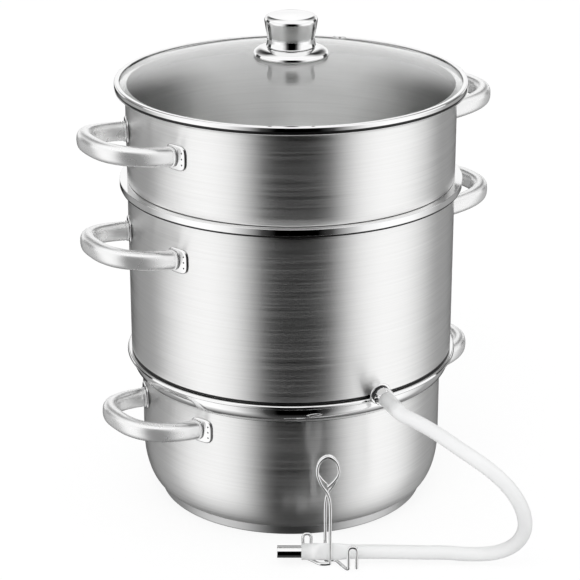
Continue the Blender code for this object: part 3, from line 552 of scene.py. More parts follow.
def rounded(outline):
    """A closed outline of (radius, height) or (radius, height, round) points, its corners turned to arcs."""
    points = [Vector(corner[:2]) for corner in outline]
    rounds = [corner[2] if len(corner) > 2 else 0 for corner in outline]
    made = []
    for i, (point, size) in enumerate(zip(points, rounds)):
        if not size:
            made.append(point)
            continue
        back = points[i - 1] - point
        ahead = points[(i + 1) % len(points)] - point
        reach = min(size, min(back.length, ahead.length) * ROUND_SHARE)
        first = point + back.normalized() * reach
        last = point + ahead.normalized() * reach
        if back.length * ROUND_SHARE > reach + HOLD:
            made.append(point + back.normalized() * (reach + HOLD))
        for step in range(ROUND_STEPS + 1):
            t = step / ROUND_STEPS
            made.append(first * (1 - t) ** 2 + point * 2 * t * (1 - t) + last * t**2)
        if ahead.length * ROUND_SHARE > reach + HOLD:
            made.append(point + ahead.normalized() * (reach + HOLD))
    return made


def turned(outline, steps=TURN_STEPS):
    """A bmesh of a closed outline, its corners turned to arcs, turned round Z."""
    rings = []
    for radius, height in rounded(outline):
        angles = turns(steps if radius else 1)
        rings.append([(radius * math.cos(a), radius * math.sin(a), height) for a in angles])
    return skinned(rings, closed=True)


pan_low, pan_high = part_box("pan_body")
pan_floor_z, pan_rim_z, pan_lip_radius = pan_low.z, pan_high.z, pan_high.x
pan_corner = (PAN_RADIUS - PAN_CORNER_RUN, pan_floor_z + PAN_CORNER_RISE)
flare_rise = PAN_NECK_Z - PAN_CREASE_Z
flare_run = PAN_NECK_RADIUS - PAN_RADIUS
flare_radius = (flare_run**2 + flare_rise**2) / (2 * flare_run)
flare_end = -math.degrees(math.asin(flare_rise / flare_radius))
flare_centre = (PAN_NECK_RADIUS - flare_radius, PAN_NECK_Z)
lip_z = pan_rim_z - PAN_LIP_DROP
pan_outline = [
    (0, pan_floor_z),
    *arc(pan_corner, PAN_CORNER_RUN, PAN_CORNER_RISE, -90, 0, PAN_CORNER_STEPS),
    (PAN_RADIUS, PAN_CREASE_Z - HOLD),
    *arc(flare_centre, flare_radius, flare_radius, flare_end, 0, FLARE_STEPS),
    (PAN_NECK_RADIUS, lip_z - SHEET / 2, SHEET / 2),
    (pan_lip_radius - SHEET, lip_z, SHEET / 2),
    (pan_lip_radius, lip_z + SHEET, SHEET),
    (pan_lip_radius - SHEET, pan_rim_z, SHEET),
    (PAN_NECK_RADIUS - SHEET, pan_rim_z, SHEET),
    (PAN_NECK_RADIUS - SHEET, PAN_NECK_Z),
    *arc(flare_centre, flare_radius - SHEET, flare_radius - SHEET, 0, flare_end, FLARE_STEPS),
    (PAN_RADIUS - SHEET, PAN_CREASE_Z - HOLD),
    *arc(pan_corner, PAN_CORNER_RUN - SHEET, PAN_CORNER_RISE - SHEET, 0, -90, PAN_CORNER_STEPS),
    (0, pan_floor_z + SHEET),
]
add_piece(
    "pan_shell", turned(pan_outline), satin, "pan", "pan_body", slot="steel_satin",
    edges=(
        (mirror, lambda radius, z: z > PAN_CREASE_Z),
        # The first faces of the flare above the crease take the painted shade
        (painted_seam_shade, lambda radius, z: -HOLD < z - PAN_CREASE_Z < flare_rise / FLARE_STEPS),
    ),
)

BASE_BEVEL = 0.0014
CAP_SHEET = 0.0006
cap_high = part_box("base_cap")[1]
cap_radius, cap_top = cap_high.x, cap_high.z
cap_outline = [
    (0, 0),
    (cap_radius, 0, BASE_BEVEL),
    (cap_radius, cap_top, CAP_SHEET / 2),
    (cap_radius - CAP_SHEET, cap_top),
    (cap_radius - CAP_SHEET, CAP_SHEET, BASE_BEVEL),
    (0, CAP_SHEET),
]
add_piece("base_plate", turned(cap_outline), base_steel, "pan", "base_cap")
core_low, core_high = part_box("base_core")
core_outline = [
    (0, core_low.z),
    (core_high.x, core_low.z, BASE_BEVEL),
    (core_high.x, core_high.z),
    (0, core_high.z),
]
add_piece("base_disc", turned(core_outline), mirror, "pan", "base_core", slot="aluminium")

# Kettle
# The juice collector, which drops into the pan's neck with a stepped foot. Its wall is brushed, and its
# rim stands out in a polished band over a recess painted near-black as painted shade. A hole in its floor
# lets the steam through.
NEST_RADIUS = 0.1286
NEST_ROUND = 0.0018
SEAM = 0.0016  # the height of the recess where one pot stands on another, painted near-black as painted shade
SEAM_STEP = 0.0004
KETTLE_LIP_DROP = 0.0050
LIP_SHEET = 0.0012
FLOOR_HOLE_RADIUS = 0.043

kettle_low, kettle_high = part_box("kettle_body")
kettle_seat_z = pan_rim_z + GAP
kettle_rim_z, kettle_lip_radius = kettle_high.z, kettle_high.x
lip_low = kettle_rim_z - KETTLE_LIP_DROP
kettle_outline = [
    (FLOOR_HOLE_RADIUS, kettle_low.z),
    (NEST_RADIUS, kettle_low.z, NEST_ROUND),
    (NEST_RADIUS, kettle_seat_z),
    (WALL_RADIUS - SEAM_STEP, kettle_seat_z),
    (WALL_RADIUS - SEAM_STEP, kettle_seat_z + SEAM),
    (WALL_RADIUS, kettle_seat_z + SEAM + SEAM_STEP / 2),
    (WALL_RADIUS, lip_low - SEAM, SEAM / 4),
    (kettle_lip_radius - SEAM_STEP * 2, lip_low - SEAM),
    (kettle_lip_radius - SEAM_STEP, lip_low - SEAM_STEP / 2),
    (kettle_lip_radius, lip_low, SEAM_STEP / 2),
    (kettle_lip_radius, kettle_rim_z, LIP_SHEET / 4),
    (WALL_RADIUS - SHEET, kettle_rim_z, LIP_SHEET / 2),
    (WALL_RADIUS - SHEET, kettle_seat_z + SHEET, SHEET),
    (NEST_RADIUS - SHEET, kettle_seat_z + SHEET, SHEET / 2),
    (NEST_RADIUS - SHEET, kettle_low.z + SHEET, NEST_ROUND),
    (FLOOR_HOLE_RADIUS, kettle_low.z + SHEET),
]
add_piece(
    "kettle_shell", turned(kettle_outline), satin, "kettle", "kettle_body", slot="steel_satin",
    edges=(
        (mirror, lambda radius, z: radius > WALL_RADIUS + LIP_SHEET / 3),
        # The lip's underside and the recess at the foot take the painted shade
        (painted_seam_shade, lambda radius, z: radius > WALL_RADIUS + LIP_SHEET and z < lip_low - SEAM_STEP / 2),
        (painted_seam_shade, lambda radius, z: radius > NEST_RADIUS + SEAM_STEP and z < kettle_seat_z + SEAM),
    ),
)

# Steam funnel
# A steel cone that stands over the hole in the kettle's floor and lifts the steam above the juice.
FUNNEL_FOOT_RADIUS = 0.052
FUNNEL_SHOULDER_RADIUS = 0.044
FUNNEL_NECK_RADIUS = 0.023
FUNNEL_CONE_HEIGHT = 0.050
FUNNEL_HEIGHT = 0.068
FUNNEL_LIP = 0.0012
FUNNEL_FOOT_ROUND = 0.002
FUNNEL_NECK_ROUND = 0.010
FUNNEL_STEPS = 96

foot = kettle_low.z + SHEET + GAP
funnel_outline = [
    (FUNNEL_FOOT_RADIUS, foot),
    (FUNNEL_FOOT_RADIUS, foot + SHEET, SHEET / 3),
    (FUNNEL_SHOULDER_RADIUS + SHEET, foot + SHEET, FUNNEL_FOOT_ROUND),
    (FUNNEL_NECK_RADIUS, foot + FUNNEL_CONE_HEIGHT, FUNNEL_NECK_ROUND),
    (FUNNEL_NECK_RADIUS, foot + FUNNEL_HEIGHT - FUNNEL_LIP, SHEET / 2),
    (FUNNEL_NECK_RADIUS + FUNNEL_LIP, foot + FUNNEL_HEIGHT - FUNNEL_LIP, SHEET / 2),
    (FUNNEL_NECK_RADIUS + FUNNEL_LIP, foot + FUNNEL_HEIGHT, SHEET),
    (FUNNEL_NECK_RADIUS - SHEET, foot + FUNNEL_HEIGHT, SHEET / 2),
    (FUNNEL_NECK_RADIUS - SHEET, foot + FUNNEL_CONE_HEIGHT, FUNNEL_NECK_ROUND),
    (FUNNEL_SHOULDER_RADIUS, foot, FUNNEL_FOOT_ROUND),
]
funnel = turned(funnel_outline, FUNNEL_STEPS)
add_piece("steam_cone", funnel, satin, "kettle", "steam_funnel", slot="steel_satin")

# Spout
# A short steel tube through the kettle's wall, with a flange, a black seal and a hexagon nut outside,
# and the hose pushed over its end.
SPOUT_BORE_RADIUS = 0.0036
SPOUT_INSIDE = 0.007
FLANGE_START = 0.0058
FLANGE_RADIUS = 0.009
FLANGE_HEIGHT = 0.0018
SEAL_RADIUS = 0.0072
SEAL_HEIGHT = 0.0012
NUT_RADIUS = 0.0078
NUT_HEIGHT = 0.006
NUT_CHAMFER = 0.0009
TUBE_EDGE = 0.0003
FLANGE_EDGE = 0.0006
SEAL_EDGE = 0.0004
SMALL_TURN_STEPS = 48
RING_TURN_STEPS = 64
NUT_STEPS = 96

spout_frame = Matrix.Translation(SPOUT_ROOT) @ spout_along.to_track_quat("Z", "Y").to_matrix().to_4x4()


def moved(made, matrix):
    """The same bmesh, put in its place."""
    bmesh.ops.transform(made, matrix=matrix, verts=made.verts)
    return made


def turned_ring(inner, outer, low, high, edge, steps=RING_TURN_STEPS):
    """A tube or ring whose outer edges are round."""
    return turned([(inner, low), (outer, low, edge), (outer, high, edge), (inner, high)], steps)


tube = turned_ring(SPOUT_BORE_RADIUS, SPOUT_RADIUS, -SPOUT_INSIDE, SPOUT_LENGTH, TUBE_EDGE, SMALL_TURN_STEPS)
add_piece("outlet_tube", moved(tube, spout_frame), mirror, "kettle", "spout_tube")
fitting_bore = SPOUT_RADIUS + GAP
flange = turned_ring(fitting_bore, FLANGE_RADIUS, FLANGE_START, FLANGE_START + FLANGE_HEIGHT, FLANGE_EDGE)
add_piece("outlet_flange", moved(flange, spout_frame), mirror, "kettle", "spout_flange")

rubber, start = new_material("black_rubber")
bloom = speckle(start, 400.0, 3.0)
end_material(principled(start, bloom.mixed(grey(0.02), grey(0.05)), 0.4 + bloom * 0.2))
seal_start = FLANGE_START + FLANGE_HEIGHT + GAP
seal = turned_ring(fitting_bore, SEAL_RADIUS, seal_start, seal_start + SEAL_HEIGHT, SEAL_EDGE)
add_piece("outlet_seal", moved(seal, spout_frame), rubber, "kettle", "spout_seal", slot="silicone_dark")

nut_start = seal_start + SEAL_HEIGHT + GAP
nut_end = nut_start + NUT_HEIGHT
nut_rings = []
for radius, height in (
    (fitting_bore, nut_start),
    (NUT_RADIUS - NUT_CHAMFER, nut_start),
    (NUT_RADIUS, nut_start + NUT_CHAMFER),
    (NUT_RADIUS, nut_end - NUT_CHAMFER),
    (NUT_RADIUS - NUT_CHAMFER, nut_end),
    (fitting_bore, nut_end),
):
    ring = []
    for angle in turns(NUT_STEPS):
        past_flat = (angle + math.pi / 6) % (math.pi / 3) - math.pi / 6
        reach = min(radius, NUT_RADIUS * math.cos(math.pi / 6) / math.cos(past_flat))
        ring.append((reach * math.cos(angle), reach * math.sin(angle), height))
    nut_rings.append(ring)
nut = skinned(nut_rings, closed=True)
add_piece("outlet_nut", moved(nut, spout_frame), mirror, "kettle", "spout_nut")

# Drain tube
# The bright steel tube in the hose's far end, which lets the juice run into a bottle.
DRAIN_BORE_RADIUS = 0.00415
DRAIN_SHOWN = 0.0188

drain_frame = clamp_frame @ Matrix.Translation((-PINCH_LENGTH_FRONT - GAP, 0, HOSE_AXIS_Z))
drain_frame = drain_frame @ Vector((-1, 0, 0)).to_track_quat("Z", "Y").to_matrix().to_4x4()
drain_length = CUFF_LENGTH + DRAIN_SHOWN
drain_tube = turned_ring(DRAIN_BORE_RADIUS, DRAIN_RADIUS, 0, drain_length, TUBE_EDGE)
add_piece("drain_tube", moved(drain_tube, drain_frame), mirror, "kettle", "hose_end_tube")

# Wire clamp
# Two lengths of sprung steel wire, each bent in an eye above and a finger loop below. Their stems
# press the hose flat between them until the finger loops are squeezed.
WIRE_RADIUS = 0.0012
WIRE_SIDES = 20.0
WIRE_STEP = 0.0008
STEM_OFFSET = 0.0018
STEM_FOOT_Z = 0.004
STEM_TOP_Z = 0.050
CROSS_Z = 0.060
EYE_HALF_WIDTH = 0.0083
EYE_MIDDLE_Z = 0.079
EYE_TOP_Z = 0.092
EYE_INNER_Z = 0.0665
BAR_TURN = 0.006
FINGER_LOOP_WIDTH = 0.0063
FINGER_LOOP_HEIGHT = 0.0200
FRONT_LOOP = (-0.0190, 0.0095)  # where its near leg stands along the hose and beside it
REAR_LOOP = (0.0159, -0.013)


def new_tree(name, sizes):
    """A geometry node tree, the wire from its mesh, and one from each of its named sizes."""
    tree = bpy.data.node_groups.new(name, "GeometryNodeTree")
    tree.interface.new_socket("Mesh", in_out="INPUT", socket_type="NodeSocketGeometry")
    for size in sizes:
        tree.interface.new_socket(size, in_out="INPUT", socket_type="NodeSocketFloat")
    tree.interface.new_socket("Mesh", in_out="OUTPUT", socket_type="NodeSocketGeometry")
    given = Wire(tree).make("NodeGroupInput")
    return tree, given, [given.other(size) for size in sizes]


def end_tree(made, finish):
    """Realize what a tree has made and give it its finish."""
    real = made.make("GeometryNodeRealizeInstances", {"Geometry": made})
    dressed = made.make("GeometryNodeSetMaterial", {"Geometry": real, "Material": finish})
    made.make("NodeGroupOutput", {"Mesh": dressed})


def grown(source_mesh, tree, sizes):
    """The plain mesh that a node tree makes from a mesh."""
    source = placed("source", source_mesh)
    modifier = source.modifiers.new("tree", "NODES")
    modifier.node_group = tree
    for item in tree.interface.items_tree:
        if item.in_out == "INPUT" and item.name in sizes:
            modifier[item.identifier] = sizes[item.name]
    graph = bpy.context.evaluated_depsgraph_get()
    mesh = bpy.data.meshes.new_from_object(source.evaluated_get(graph))
    bpy.data.objects.remove(source, do_unlink=True)
    return mesh


wire_sizes = {"Wire radius": WIRE_RADIUS, "Sides": WIRE_SIDES}
wire_tree, given, (thickness, sides) = new_tree("bent_wire", wire_sizes)
curve = given.make("GeometryNodeMeshToCurve", {"Mesh": given})
profile = given.make("GeometryNodeCurvePrimitiveCircle", {"Resolution": sides, "Radius": thickness})
swept = {"Curve": curve, "Profile Curve": profile, "Fill Caps": True}
end_tree(given.make("GeometryNodeCurveToMesh", swept), mirror)


def clamp_wire(name, body, node, hand, loop_x, loop_y):
    """One wire: hand is -1 for the one whose stem is in front of the hose, else 1."""
    low = WIRE_RADIUS + GAP
    far = loop_x + FINGER_LOOP_WIDTH
    top = low + FINGER_LOOP_HEIGHT
    shoulder = top - FINGER_LOOP_WIDTH / 2
    bend = FINGER_LOOP_WIDTH / 4
    stem_y = hand * (PINCH_HALF_WIDTH + GAP + WIRE_RADIUS)
    eye_y = hand * (WIRE_RADIUS + GAP / 2)
    stem_x = -hand * STEM_OFFSET
    turn_x = hand * BAR_TURN
    eye_shoulder = (EYE_MIDDLE_Z + 2 * EYE_TOP_Z) / 3
    eye = (
        (0, CROSS_Z), (2 / 3, (CROSS_Z + EYE_MIDDLE_Z) / 2), (1, EYE_MIDDLE_Z), (3 / 4, eye_shoulder),
        (0, EYE_TOP_Z), (-3 / 4, eye_shoulder), (-1, EYE_MIDDLE_Z),
        (-2 / 3, (EYE_INNER_Z + EYE_MIDDLE_Z) / 2), (0, EYE_INNER_Z),
    )
    route = (
        *[(far, loop_y, z) for z in (low + WIRE_RADIUS, low + FINGER_LOOP_HEIGHT / 2, shoulder)],
        (far - bend, loop_y, top - bend / 2),
        (loop_x + bend, loop_y, top - bend / 2),
        *[(loop_x, loop_y, z) for z in (shoulder, low + FINGER_LOOP_HEIGHT / 2, low + 2 * WIRE_RADIUS)],
        (loop_x + (turn_x - loop_x) / 8, loop_y + (stem_y - loop_y) / 8, low),
        (loop_x + (turn_x - loop_x) / 2, loop_y + (stem_y - loop_y) / 2, low),
        (turn_x, stem_y, low),
        (stem_x + hand * WIRE_RADIUS, stem_y, low),
        (stem_x, stem_y, STEM_FOOT_Z),
        (stem_x, stem_y, STEM_TOP_Z / 2),
        (stem_x, (stem_y + eye_y) / 2, STEM_TOP_Z),
        *[(hand * EYE_HALF_WIDTH * across, eye_y, z) for across, z in eye],
    )
    line = smooth_line(route, WIRE_STEP)
    mesh = bpy.data.meshes.new(name)
    places = [clamp_frame @ place for place in line]
    mesh.from_pydata(places, [(i, i + 1) for i in range(len(places) - 1)], [])
    add_piece(name, grown(mesh, wire_tree, wire_sizes), mirror, body, node)


clamp_wire("clamp_wire_front", "kettle", "clamp_front", -1, *FRONT_LOOP)
clamp_wire("clamp_wire_rear", "clamp_arm", "clamp_rear", 1, *REAR_LOOP)

sum((b - a).length for a, b in zip(hose_line, hose_line[1:]))

# Basket
# The fruit basket: a brushed wall with a rolled rim stands on the kettle, and a perforated pot of the
# same steel hangs from it inside the kettle.
BASKET_SEAT_Z = kettle_rim_z + GAP
BASKET_CORNER = 0.014
BASKET_CORNER_STEPS = 10
BASKET_LIP_HEIGHT = 0.0020
HEM_ROUND = 0.0009
STEAM_HOLE_RADIUS = 0.0024
STEAM_HOLE_PITCH = 0.025
STEAM_HOLE_RINGS = 4
SIDE_HOLES = 12
SIDE_HOLE_RISE = 0.024
PUNCH_LENGTH = 0.008
PUNCH_SIDES = 16

basket_low, basket_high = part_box("basket_body")
basket_floor_z, basket_rim_z, basket_lip_radius = basket_low.z, basket_high.z, basket_high.x
lip_low = basket_rim_z - BASKET_LIP_HEIGHT
corner_centre = (NEST_RADIUS - BASKET_CORNER, basket_floor_z + BASKET_CORNER)
small_corner = BASKET_CORNER - SHEET
basket_outline = [
    (0, basket_floor_z),
    *arc(corner_centre, BASKET_CORNER, BASKET_CORNER, -90, 0, BASKET_CORNER_STEPS),
    (NEST_RADIUS, BASKET_SEAT_Z, SHEET / 2),
    (WALL_RADIUS, BASKET_SEAT_Z, SHEET),
    (WALL_RADIUS, lip_low, SHEET),
    (basket_lip_radius - BASKET_LIP_HEIGHT, lip_low, HEM_ROUND / 3),
    (basket_lip_radius, basket_rim_z - HEM_ROUND / 3, HEM_ROUND / 5),
    (basket_lip_radius - HEM_ROUND / 2, basket_rim_z),
    (WALL_RADIUS - SHEET, basket_rim_z, SHEET),
    (WALL_RADIUS - SHEET, BASKET_SEAT_Z + SHEET, SHEET / 2),
    (NEST_RADIUS - SHEET, BASKET_SEAT_Z + SHEET, SHEET),
    *arc(corner_centre, small_corner, small_corner, 0, -90, BASKET_CORNER_STEPS),
    (0, basket_floor_z + SHEET),
]


def end_drilled(given, punches, finish):
    """Let a tree cut punches out of its mesh."""
    settings = {"operation": "DIFFERENCE", "solver": "EXACT"}
    drilled = given.make("GeometryNodeMeshBoolean", {"Mesh 1": given, "Mesh 2": punches}, settings)
    end_tree(drilled, finish)


basket_sizes = {"Hole radius": STEAM_HOLE_RADIUS, "Pitch": STEAM_HOLE_PITCH, "Punch length": PUNCH_LENGTH}
basket_tree, given, (hole, pitch, length) = new_tree("steam_holes", basket_sizes)
punch = given.make("GeometryNodeMeshCylinder", {"Vertices": PUNCH_SIDES, "Radius": hole, "Depth": length})
middle = given.make("GeometryNodeMeshCircle", {"Vertices": 3, "Radius": 0.0})
rings = [given.make("GeometryNodeMergeByDistance", {"Geometry": middle, "Distance": STEAM_HOLE_RADIUS})]
for ring in range(1, STEAM_HOLE_RINGS + 1):
    rings.append(given.make("GeometryNodeMeshCircle", {"Vertices": 6 * ring, "Radius": pitch * ring}))
holes = []
for ring in rings:
    lift = (0, 0, basket_floor_z + SHEET / 2)
    places = given.make("GeometryNodeSetPosition", {"Geometry": ring, "Offset": lift})
    holes.append(given.make("GeometryNodeInstanceOnPoints", {"Points": places, "Instance": punch}))
ring = given.make("GeometryNodeMeshCircle", {"Vertices": SIDE_HOLES, "Radius": NEST_RADIUS})
lift = (0, 0, basket_floor_z + SIDE_HOLE_RISE)
turn = (0, 0, math.pi / SIDE_HOLES)
ring = given.make("GeometryNodeTransform", {"Geometry": ring, "Translation": lift, "Rotation": turn})
axes = given.make("ShaderNodeSeparateXYZ", {0: given.make("GeometryNodeInputPosition")})
outwards = given.make("ShaderNodeCombineXYZ", {"X": axes, "Y": axes.other("Y")})
lying = given.make("FunctionNodeAlignRotationToVector", {"Vector": outwards}, {"axis": "Z"})
lying_punches = {"Points": ring, "Instance": punch, "Rotation": lying}
holes.append(given.make("GeometryNodeInstanceOnPoints", lying_punches))
all_holes = given.make("GeometryNodeJoinGeometry")
for hole in holes:
    given.tree.links.new(hole.socket, all_holes.socket.node.inputs["Geometry"])
end_drilled(given, given.make("GeometryNodeRealizeInstances", {"Geometry": all_holes}), satin)
basket_mesh = grown(as_mesh("basket", turned(basket_outline)), basket_tree, basket_sizes)
add_piece(
    "basket_shell", basket_mesh, satin, "basket", "basket_body", slot="steel_satin",
    edges=((mirror, lambda radius, z: radius > WALL_RADIUS + SHEET / 2),),
)

# Lid
# A domed disc of clear glass in a rim of polished steel, whose skirt drops inside the basket. A steel
# eyelet in the glass lets the steam out.
RIM_HEIGHT = 0.0053
RIM_ROUND = 0.0016
RIM_SHEET = 0.0007
SKIRT_RADIUS = 0.1297
SKIRT_DEPTH = 0.006
GLASS_RADIUS = 0.1363
GLASS_THICKNESS = 0.003
GLASS_RISE = 0.021
GLASS_BITE = 0.0009
GLASS_STEPS = 24
GLASS_BORE = 0.0028
GLASS_TINT = (0.985, 0.99, 0.988, 1)
GLASS_SHADE = (0.93, 0.935, 0.93, 1)
VENT_REACH = 0.111
VENT_ANGLE = math.radians(38.7)
VENT_HOLE_RADIUS = 0.0036
VENT_SIDES = 48
EYELET_BORE_RADIUS = 0.0019
EYELET_FLANGE_RADIUS = 0.0052
EYELET_FLANGE_HEIGHT = 0.0009

LID_SEAT_Z = basket_rim_z + GAP
lid_top_z = LID_SEAT_Z + RIM_HEIGHT
rim_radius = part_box("lid_rim")[1].x
glass_edge_z = LID_SEAT_Z + RIM_SHEET + GAP
glass_sphere = (GLASS_RADIUS**2 + GLASS_RISE**2) / (2 * GLASS_RISE)
glass_top_z = glass_edge_z + GLASS_THICKNESS + GLASS_RISE


def glass_height(radius):
    """The height of the glass's upper surface at a radius."""
    return glass_top_z - glass_sphere + math.sqrt(glass_sphere**2 - radius**2)


lip_inner = GLASS_RADIUS - GLASS_BITE
lip_low = glass_height(lip_inner) + GAP
groove = GLASS_RADIUS + GAP
rim_outline = [
    (SKIRT_RADIUS, LID_SEAT_Z - SKIRT_DEPTH, RIM_SHEET / 3),
    (SKIRT_RADIUS, LID_SEAT_Z),
    (rim_radius - SEAM_STEP, LID_SEAT_Z),
    (rim_radius - SEAM_STEP, LID_SEAT_Z + SEAM),
    (rim_radius, LID_SEAT_Z + SEAM + SEAM_STEP / 2),
    (rim_radius, lid_top_z, RIM_ROUND * 0.8),
    (lip_inner, lip_low + RIM_SHEET, RIM_SHEET),
    (lip_inner, lip_low),
    (groove, glass_edge_z + GLASS_THICKNESS + GAP),
    (groove, glass_edge_z - GAP),
    (SKIRT_RADIUS - RIM_SHEET, glass_edge_z - GAP),
    (SKIRT_RADIUS - RIM_SHEET, LID_SEAT_Z - SKIRT_DEPTH, RIM_SHEET / 3),
]
add_piece(
    "lid_hoop", turned(rim_outline), mirror, "lid", "lid_rim",
    # The recess under the rim takes the painted shade
    edges=((painted_seam_shade, lambda radius, z: radius > rim_radius - SEAM and z < LID_SEAT_Z + SEAM),),
)

glass, start = new_material("clear_glass")
smear = speckle(start, 25.0, 3.0)
refracting = {"IOR": 1.47, "Transmission Weight": 1.0}
clear = principled(start, GLASS_TINT, smear * 0.02, refracting)
passing = start.make("ShaderNodeBsdfTransparent", {"Color": GLASS_SHADE})
rays = start.make("ShaderNodeLightPath")
unlit = rays.maths("MAXIMUM", rays.other("Is Shadow Ray"), rays.other("Is Diffuse Ray"))
end_material(start.make("ShaderNodeMixShader", {0: unlit, 1: clear, 2: passing}))
radii = [GLASS_BORE + (GLASS_RADIUS - GLASS_BORE) * k / GLASS_STEPS for k in range(GLASS_STEPS + 1)]
upper = [(radius, glass_height(radius)) for radius in radii]
lower = [(radius, height - GLASS_THICKNESS) for radius, height in reversed(upper)]
slope = math.asin(VENT_REACH / glass_sphere)
vent_frame = Matrix.Rotation(VENT_ANGLE, 4, "Z")
vent_frame = vent_frame @ Matrix.Translation((VENT_REACH, 0, glass_height(VENT_REACH)))
vent_frame = vent_frame @ Matrix.Rotation(slope, 4, "Y")
vent_sizes = {"Hole radius": VENT_HOLE_RADIUS, "Punch length": 6 * GLASS_THICKNESS}
vent_tree, given, (hole, length) = new_tree("vent_hole", vent_sizes)
punch = given.make("GeometryNodeMeshCylinder", {"Vertices": VENT_SIDES, "Radius": hole, "Depth": length})
place, turn = tuple(vent_frame.translation), tuple(vent_frame.to_euler())
punch = given.make("GeometryNodeTransform", {"Geometry": punch, "Translation": place, "Rotation": turn})
end_drilled(given, punch, glass)
disc_mesh = grown(as_mesh("disc", turned(upper + lower)), vent_tree, vent_sizes)
add_piece("glass_disc", disc_mesh, glass, "lid", "lid_glass", slot="glass")

eyelet_low = -GLASS_THICKNESS - GAP
eyelet_tube = VENT_HOLE_RADIUS - GAP
eyelet_outline = [
    (EYELET_BORE_RADIUS, eyelet_low - EYELET_FLANGE_HEIGHT, 0.0003),
    (EYELET_FLANGE_RADIUS, eyelet_low - EYELET_FLANGE_HEIGHT, 0.0004),
    (EYELET_FLANGE_RADIUS, eyelet_low),
    (eyelet_tube, eyelet_low),
    (eyelet_tube, GAP),
    (EYELET_FLANGE_RADIUS, GAP, 0.0002),
    (EYELET_FLANGE_RADIUS, GAP + EYELET_FLANGE_HEIGHT, 0.0007),
    (EYELET_BORE_RADIUS, GAP + EYELET_FLANGE_HEIGHT, 0.0008),
]
eyelet = moved(turned(eyelet_outline, RING_TURN_STEPS), vent_frame)
add_piece("steam_eyelet", eyelet, mirror, "lid", "vent_eyelet")

# Knob
# A polished steel knob on a domed flange of the same steel, held by a screw and a soft washer from
# under the glass.
SCREW_RADIUS = 0.0025
SCREW_HEAD_RADIUS = 0.0048
SCREW_HEAD_HEIGHT = 0.0030
SCREW_BITE = 0.012
WASHER_RADIUS = 0.012
WASHER_HEIGHT = 0.0015
KNOB_FLANGE_RADIUS = 0.0297
KNOB_FLANGE_EDGE = 0.0012
KNOB_FLANGE_HEIGHT = 0.0055
KNOB_FLANGE_NECK_RADIUS = 0.0180
KNOB_FLANGE_STEPS = 12
KNOB_FOOT_RADIUS = 0.0190
KNOB_RADIUS = 0.0209
# The knob's waisted side, by radius and height
KNOB_SIDE = (
    (0.0195, 0.0008),
    (0.0189, 0.003612),
    (0.0188, 0.00774),
    (0.0199, 0.01407),
    (KNOB_RADIUS, 0.0204),
)
KNOB_STEP = 0.001
KNOB_HEIGHT = 0.0258
KNOB_ROUND = 0.0042
KNOB_ROUND_STEPS = 8
KNOB_CROWN = 0.0012
KNOB_CROWN_STEPS = 6

bore = SCREW_RADIUS + GAP
flange_low = glass_height(bore) + GAP
flange_edge = glass_height(KNOB_FLANGE_RADIUS) + GAP
flange_top = glass_top_z + GAP + KNOB_FLANGE_HEIGHT
flange_rise = flange_top - flange_edge - KNOB_FLANGE_EDGE
flange_run = KNOB_FLANGE_RADIUS - KNOB_FLANGE_NECK_RADIUS
edge = (KNOB_FLANGE_NECK_RADIUS, flange_edge + KNOB_FLANGE_EDGE)
dome = arc(edge, flange_run, flange_rise, 12, 90, KNOB_FLANGE_STEPS)
flange_outline = [
    (bore, flange_low),
    (KNOB_FLANGE_RADIUS, flange_edge, KNOB_FLANGE_EDGE / 3),
    (KNOB_FLANGE_RADIUS, flange_edge + KNOB_FLANGE_EDGE),
    *dome,
    (bore, flange_top),
]
add_piece("knob_flange", turned(flange_outline), mirror, "lid", "knob_base")

knob_z = flange_top + GAP
knob_top = knob_z + KNOB_HEIGHT
shoulder_z = knob_top - KNOB_CROWN - KNOB_ROUND
side = smooth_line([(radius, 0, knob_z + rise) for radius, rise in KNOB_SIDE], KNOB_STEP)
crown_radius = KNOB_RADIUS - KNOB_ROUND
shares = [k / KNOB_CROWN_STEPS for k in range(KNOB_CROWN_STEPS - 1, -1, -1)]
crown = [(crown_radius * share, knob_top - KNOB_CROWN * share**2) for share in shares]
knob_outline = [
    (bore, knob_z),
    (KNOB_FOOT_RADIUS, knob_z),
    *[(place.x, place.z) for place in side],
    *arc((crown_radius, shoulder_z), KNOB_ROUND, KNOB_ROUND, 9, 81, KNOB_ROUND_STEPS),
    *crown,
    (0, knob_z + SCREW_BITE + GAP),
    (bore, knob_z + SCREW_BITE + GAP),
]
add_piece("knob_grip", turned(knob_outline), mirror, "lid", "knob")

washer_top = glass_height(WASHER_RADIUS) - GLASS_THICKNESS - GAP
washer_low = washer_top - WASHER_HEIGHT
washer = turned_ring(bore, WASHER_RADIUS, washer_low, washer_top, SEAL_EDGE)
add_piece("soft_washer", washer, silicone, "lid", "knob_washer", slot="silicone_clear")
head_top = washer_low - GAP
screw_outline = [
    (0, head_top - SCREW_HEAD_HEIGHT),
    (SCREW_HEAD_RADIUS, head_top - SCREW_HEAD_HEIGHT, SCREW_HEAD_HEIGHT / 2),
    (SCREW_HEAD_RADIUS, head_top),
    (SCREW_RADIUS, head_top),
    (SCREW_RADIUS, knob_z + SCREW_BITE, SEAL_EDGE),
    (0, knob_z + SCREW_BITE),
]
add_piece("lid_screw", turned(screw_outline, SMALL_TURN_STEPS), mirror, "lid", "knob_screw")

# Handles
# Each is an oval tube of buffed steel bent in a flat loop. Its ends stand in collars on two small domed
# plates, and three spots of weld hold each plate to the wall.
BODY_HANDLE_REACH = 0.0490
PAN_HANDLE_REACH = 0.0485
TUBE_HALF_WIDTH = 0.006
TUBE_HALF_HEIGHT = 0.0075
TUBE_POWER = 2.6  # how square the tube is; 2 is an ellipse
TUBE_SIDES = 32
TUBE_STEP = 0.0022
TUBE_END = 0.004  # the length of its straight ends, which are cut to the curve of the plates
TUBE_MIDDLE_START = 0.008
